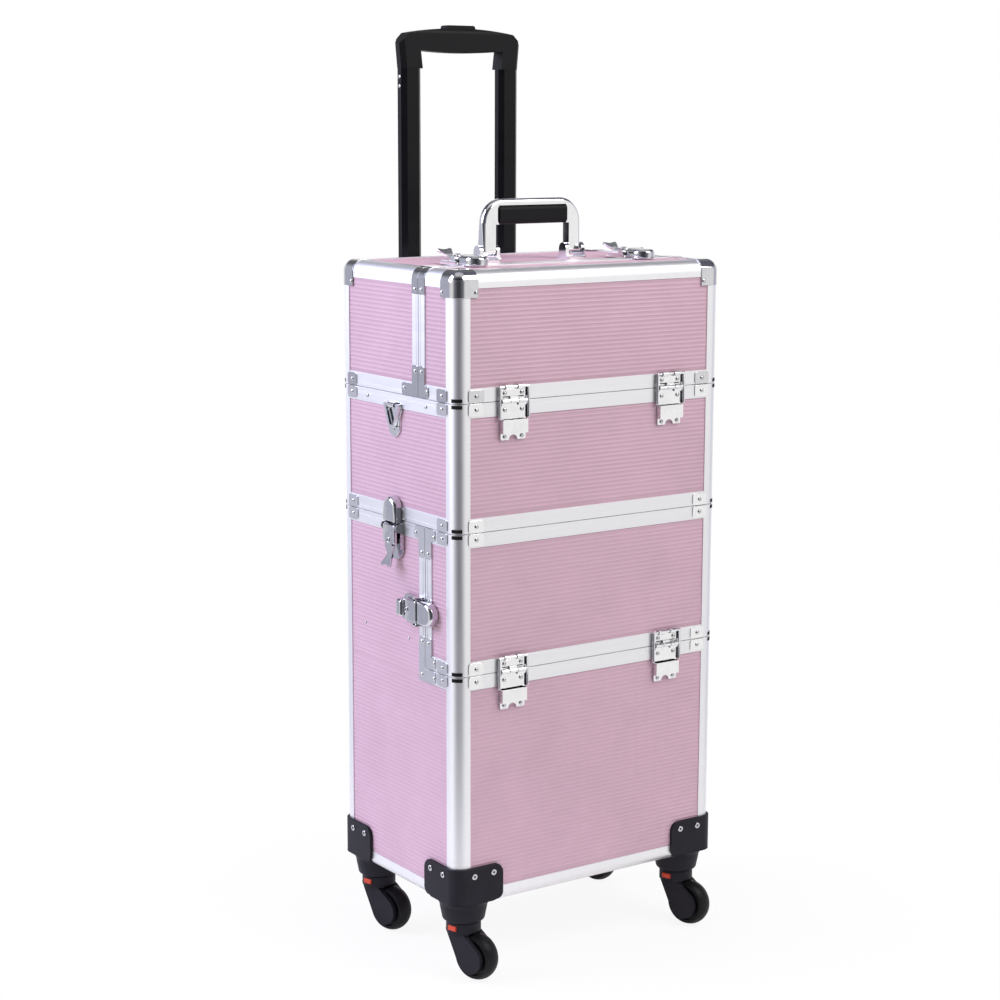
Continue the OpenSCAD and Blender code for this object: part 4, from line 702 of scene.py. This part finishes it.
def clasp_places(sx, side):
    """Keeper's body, lever's body, face, middle of the seam, and the direction from lever to keeper."""
    return (
        ("upper_box", f"case_lever_{side}", side, (CASE_CLASP_Y, Z_BOX), (0, 1)),
        ("door", f"door_lever_{side}", side, (Y_DOOR, DOOR_CLASP_Z), (-1, 0)),
        ("front_lid", f"top_lever_{side}", "top", (sx * TOP_CLASP_X, Y_LID), (0, -1)),
    )


def on_clasp(points, middle, way):
    """Points across and along a clasp, as places on its face."""
    return [(middle[0] + way[0] * y + way[1] * x, middle[1] + way[1] * y - way[0] * x) for x, y in points]


def block(half, foot, top):
    """Rectangle with rounded corners, on both sides of the clasp's middle line."""
    x, y_top, y_foot = half - BLOCK_R, top - BLOCK_R, foot + BLOCK_R
    out = []
    for cx, cy, start in ((x, y_top, 0), (-x, y_top, 90), (-x, y_foot, 180), (x, y_foot, 270)):
        for i in range(5):
            a = math.radians(start + 22.5 * i)
            out.append((cx + BLOCK_R * math.cos(a), cy + BLOCK_R * math.sin(a)))
    return out


def hood_outline():
    """Half round above a straight foot."""
    turns = [math.pi * i / DOME_STEPS for i in range(DOME_STEPS + 1)]
    dome = [(HOOD_HALF * math.cos(a), HOOD_ARC + HOOD_HALF * math.sin(a)) for a in turns]
    return [(HOOD_HALF, HOOD_FOOT), *dome, (-HOOD_HALF, HOOD_FOOT)]


for side, sx in (("left", -1), ("right", 1)):
    for keeper, lever, face, middle, way in clasp_places(sx, side):
        hood = Piece(f"hood_{lever}", keeper, M_CLASP, "plated")
        hood.prism(face, on_clasp(hood_outline(), middle, way), *HOOD_W, *HOOD_ROLL)
        hood.make(50.0)
        shell = Piece(f"shell_{lever}", lever, M_CLASP, "plated")
        outline = on_clasp(block(SHELL_HALF, SHELL_FOOT, SHELL_TOP), middle, way)
        shell.prism(face, outline, *SHELL_W, *SHELL_ROLL)
        if keeper == "door":
            shell.prism(face, on_clasp(block(BACK_HALF, BACK_FOOT, BACK_TOP), middle, way), *BACK_W)
            outline = on_clasp(block(END_HALF, END_FOOT, END_TOP), middle, way)
            shell.prism(face, outline, *END_W, *END_ROLL)
            hub = [(PIVOT_R, 2 * SHELL_HALF), (PIVOT_R, 0.0)]
            start = on_clasp([(-SHELL_HALF, -PIVOT_IN)], middle, way)[0]
            shell.lathe(at(face, *start, PIVOT_H), (0, 0, 1), hub)
            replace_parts(shell.make(50.0), lever)
        else:
            shell.make(50.0)


# Tongues of the strap ring plates

TONGUE_HALF, TONGUE_MID, TONGUE_TOP = 11.0, Z_LID - 34.5, Z_LID - 16.0
TONGUE_SINK, TONGUE_W, TONGUE_EDGE, TONGUE_STEPS = 1.0, 1.15, 0.3, 16
RING_Y, RING_RIVET_Z = 3.0, TONGUE_MID - 3.0
for side in ("left", "right"):
    tongue = Piece(f"strap_tongue_{side}", "upper_box", M_CHROME, "plated")
    turns = [math.pi * (1 + i / TONGUE_STEPS) for i in range(TONGUE_STEPS + 1)]
    outline = [(RING_Y + TONGUE_HALF * math.cos(a), TONGUE_MID + TONGUE_HALF * math.sin(a)) for a in turns]
    outline += [(RING_Y + TONGUE_HALF, TONGUE_TOP), (RING_Y - TONGUE_HALF, TONGUE_TOP)]
    tongue.prism(side, outline, -TONGUE_SINK, TONGUE_W, TONGUE_EDGE)
    tongue.make()
    rivet("upper_box", side, RING_Y, RING_RIVET_Z, TONGUE_W)


# Rolled and polished edges: these pieces stand for their CAD nodes

WELD, SMOOTH_DOT, FLAT_ANGLE, SHARP_ANGLE = 1e-6, 0.64, math.radians(1.0), math.radians(40.0)
SLOT_OF = {part["node"]: part["material_slot"] for part in frame["record"]["subparts"]}
BODY_OF = {n: body for body, nodes in frame["record"]["behaviour"]["bodies"].items() for n in nodes}
BAIL_R, BAIL_X, BAIL_Z, BAIL_ARM, BAIL_ROLL = 26.0, 37.5, Z_TOP + 39.0, Z_TOP + 24.0, 4.0
EDGE_ROLL = 0.35


def weigh_normals(mesh):
    """Corner normals that follow the larger faces, so that flat faces stay flat beside rounded edges."""
    around = [[] for _ in mesh.vertices]
    for face in mesh.polygons:
        for v in face.vertices:
            around[v].append(face)
    normals = []
    for face in mesh.polygons:
        for v in face.vertices:
            near = [f for f in around[v] if f.normal.dot(face.normal) > SMOOTH_DOT]
            normals.append(sum((f.normal * f.area for f in near), Vector()).normalized())
    mesh.normals_split_custom_set(normals)


def soften(name, width, segments=2, only=None, clamp=True):
    """Copy of a node with its sharp outer edges rounded; only picks edges by their middle in millimetres."""
    cad = frame["nodes"][name]
    bm = bmesh.new()
    bm.from_mesh(cad.data)
    bmesh.ops.remove_doubles(bm, verts=bm.verts, dist=WELD)
    bmesh.ops.dissolve_limit(bm, angle_limit=FLAT_ANGLE, verts=bm.verts, edges=bm.edges)
    def wanted(edge):
        if not edge.is_convex or len(edge.link_faces) != 2 or edge.calc_face_angle() < SHARP_ANGLE:
            return False
        middle = (edge.verts[0].co + edge.verts[1].co) / 2 / MM
        return only is None or only(middle)
    bmesh.ops.bevel(
        bm, geom=[e for e in bm.edges if wanted(e)], offset=width * MM, segments=segments, profile=0.5,
        affect="EDGES", clamp_overlap=clamp)
    mesh = bpy.data.meshes.new(name + "_rounded")
    bm.to_mesh(mesh)
    bm.free()
    mesh.materials.append(cad.data.materials[0])
    mesh.shade_smooth()
    weigh_normals(mesh)
    made = bpy.data.objects.new(name + "_rounded", mesh)
    bpy.context.collection.objects.link(made)
    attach(made, BODY_OF[name])
    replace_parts(made, name)


def bail_outside(middle):
    """True on the outer contour of the carry handle's bail, clear of its pivots."""
    beyond = math.hypot(max(abs(middle.x) - BAIL_X, 0.0), max(middle.z - BAIL_Z, 0.0))
    return middle.z > BAIL_ARM and beyond > BAIL_R - 1.0


soften("handle_bail", BAIL_ROLL, 6, bail_outside, False)
for part_name, part_slot in SLOT_OF.items():
    if part_slot == "plated" and part_name not in ("handle_bail", "door_lever_left", "door_lever_right"):
        soften(part_name, EDGE_ROLL)

# Every rivet has its place by now
for piece in rivets.values():
    piece.make()


# Stage, light and camera

CAMERA_AT = Vector((-1.3435, -1.9071, 0.8976))
RIGHT, UP, LOOK = (0.82565, -0.56418, 0.00220), (0.09686, 0.14560, 0.98459), (0.55581, 0.81271, -0.17486)
LENS, SENSOR = 78.215, 36.0
FLOOR_R, FLOOR_GREY, FLOOR_IN_MIRRORS = 0.75, 0.93, 0.4
FADE_NEAR, FADE_FAR, FADE_LEAST = 0.14, 0.6, 0.9
ROOM = 0.5


def seen_rays(tree):
    """1 for rays that show the background: straight to the camera, in a mirror or through glass."""
    path = node(tree, "ShaderNodeLightPath")
    straight = node(tree, "ShaderNodeMath", operation="MAXIMUM")
    tree.links.new(path.outputs["Is Camera Ray"], straight.inputs[0])
    tree.links.new(path.outputs["Is Transmission Ray"], straight.inputs[1])
    either = node(tree, "ShaderNodeMath", operation="MAXIMUM")
    tree.links.new(straight.outputs["Value"], either.inputs[0])
    tree.links.new(path.outputs["Is Glossy Ray"], either.inputs[1])
    return straight.outputs["Value"], either.outputs["Value"]


def stage_floor():
    """Pale floor that takes the shadow near the object and turns into the white background further out."""
    bm = bmesh.new()
    bmesh.ops.create_circle(bm, cap_ends=True, segments=96, radius=FLOOR_R)
    mesh = bpy.data.meshes.new("floor")
    bm.to_mesh(mesh)
    bm.free()
    floor = bpy.data.objects.new("floor", mesh)
    bpy.context.collection.objects.link(floor)
    mat, tree, shader = new_material("studio_floor")
    shader.inputs["Base Color"].default_value = (FLOOR_GREY, FLOOR_GREY, FLOOR_GREY, 1)
    shader.inputs["Roughness"].default_value = 0.9
    shader.inputs["Specular IOR Level"].default_value = 0.1
    place = node(tree, "ShaderNodeTexCoord")
    reach = node(tree, "ShaderNodeVectorMath", operation="LENGTH")
    tree.links.new(place.outputs["Object"], reach.inputs[0])
    far = node(tree, "ShaderNodeMapRange")
    far.interpolation_type = "SMOOTHSTEP"
    far.inputs["From Min"].default_value = FADE_NEAR
    far.inputs["From Max"].default_value = FADE_FAR
    far.inputs["To Min"].default_value = FADE_LEAST
    tree.links.new(reach.outputs["Value"], far.inputs["Value"])
    straight, either = seen_rays(tree)
    part = node(tree, "ShaderNodeMath", operation="MULTIPLY")
    part.inputs[1].default_value = FLOOR_IN_MIRRORS
    tree.links.new(either, part.inputs[0])
    rays = node(tree, "ShaderNodeMath", operation="MAXIMUM")
    tree.links.new(straight, rays.inputs[0])
    tree.links.new(part.outputs["Value"], rays.inputs[1])
    shown = node(tree, "ShaderNodeMath", operation="MULTIPLY")
    tree.links.new(far.outputs["Result"], shown.inputs[0])
    tree.links.new(rays.outputs["Value"], shown.inputs[1])
    white = node(tree, "ShaderNodeEmission", Strength=1.0)
    mix = node(tree, "ShaderNodeMixShader")
    tree.links.new(shown.outputs["Value"], mix.inputs["Fac"])
    tree.links.new(shader.outputs["BSDF"], mix.inputs[1])
    tree.links.new(white.outputs["Emission"], mix.inputs[2])
    tree.links.new(mix.outputs["Shader"], tree.nodes["Material Output"].inputs["Surface"])
    mesh.materials.append(mat)


def softbox(name, place, target, size, energy, colour):
    """Rectangular lamp at a place, turned to its target; energy in watts."""
    light = bpy.data.lights.new(name, "AREA")
    light.shape = "RECTANGLE"
    light.size, light.size_y = size
    light.energy = energy
    light.color = colour
    lamp = bpy.data.objects.new(name, light)
    lamp.location = place
    lamp.rotation_euler = (Vector(target) - Vector(place)).to_track_quat("-Z", "Y").to_euler()
    bpy.context.collection.objects.link(lamp)


def studio_world():
    """White room for the eye; mirrors find it dim behind the camera and under the ceiling."""
    world = bpy.data.worlds.new("studio")
    world.use_nodes = True
    bpy.context.scene.world = world
    tree = world.node_tree
    tree.nodes.clear()
    out = node(tree, "ShaderNodeOutputWorld")
    coords = node(tree, "ShaderNodeTexCoord")
    facing = node(tree, "ShaderNodeVectorMath", operation="DOT_PRODUCT")
    facing.inputs[1].default_value = (-LOOK[0] / 2, -LOOK[1] / 2, 0.0)
    tree.links.new(coords.outputs["Generated"], facing.inputs[0])
    half = node(tree, "ShaderNodeMath", operation="ADD")
    half.inputs[1].default_value = 0.5
    tree.links.new(facing.outputs["Value"], half.inputs[0])
    walls = ramp(tree, half.outputs["Value"], [
        (0.16, (1, 1, 1)), (0.28, (0.56, 0.57, 0.68)), (0.40, (0.56, 0.57, 0.68)), (0.60, (1, 0.99, 0.98)),
        (0.76, (0.95, 0.94, 0.93)), (0.86, (0.28, 0.28, 0.32)), (1.0, (0.04, 0.04, 0.05)),
    ])
    height = node(tree, "ShaderNodeSeparateXYZ")
    tree.links.new(coords.outputs["Generated"], height.inputs["Vector"])
    ceiling = ramp(tree, height.outputs["Z"], [
        (0.28, (1, 1, 1)), (0.5, (0.16, 0.16, 0.18)), (1.0, (0.34, 0.34, 0.36)),
    ])
    both = node(tree, "ShaderNodeVectorMath", operation="MULTIPLY")
    tree.links.new(walls, both.inputs[0])
    tree.links.new(ceiling, both.inputs[1])
    room = node(tree, "ShaderNodeBackground", Color=(1, 1, 1, 1), Strength=ROOM)
    mirrored = node(tree, "ShaderNodeBackground", Strength=1.0)
    tree.links.new(both.outputs["Vector"], mirrored.inputs["Color"])
    seen = node(tree, "ShaderNodeBackground", Color=(1, 1, 1, 1), Strength=1.0)
    straight, either = seen_rays(tree)
    glossy = node(tree, "ShaderNodeMixShader")
    tree.links.new(either, glossy.inputs["Fac"])
    tree.links.new(room.outputs["Background"], glossy.inputs[1])
    tree.links.new(mirrored.outputs["Background"], glossy.inputs[2])
    mix = node(tree, "ShaderNodeMixShader")
    tree.links.new(straight, mix.inputs["Fac"])
    tree.links.new(glossy.outputs["Shader"], mix.inputs[1])
    tree.links.new(seen.outputs["Background"], mix.inputs[2])
    tree.links.new(mix.outputs["Shader"], out.inputs["Surface"])


stage_floor()
studio_world()
softbox("left_box", (-2.0, 1.1, 1.8), (0, 0, 0.7), (1.6, 2.0), 76, (0.72, 0.74, 1.0))
softbox("front_box", (0.8, -1.55, 2.15), (0, 0, 1.1), (1.4, 1.2), 34, (1.0, 0.97, 0.97))
softbox("top_box", (-0.2, -0.3, 3.0), (0, 0, 0.45), (2.4, 2.0), 6, (1, 1, 1))

camera_data = bpy.data.cameras.new("camera")
camera_data.lens, camera_data.sensor_width = LENS, SENSOR
camera = bpy.data.objects.new("camera", camera_data)
bpy.context.collection.objects.link(camera)
turn = Matrix([RIGHT, UP, [-c for c in LOOK]]).transposed().to_4x4()
camera.matrix_world = Matrix.Translation(CAMERA_AT) @ turn
bpy.context.scene.camera = camera
bpy.context.scene.view_settings.view_transform = "Standard"
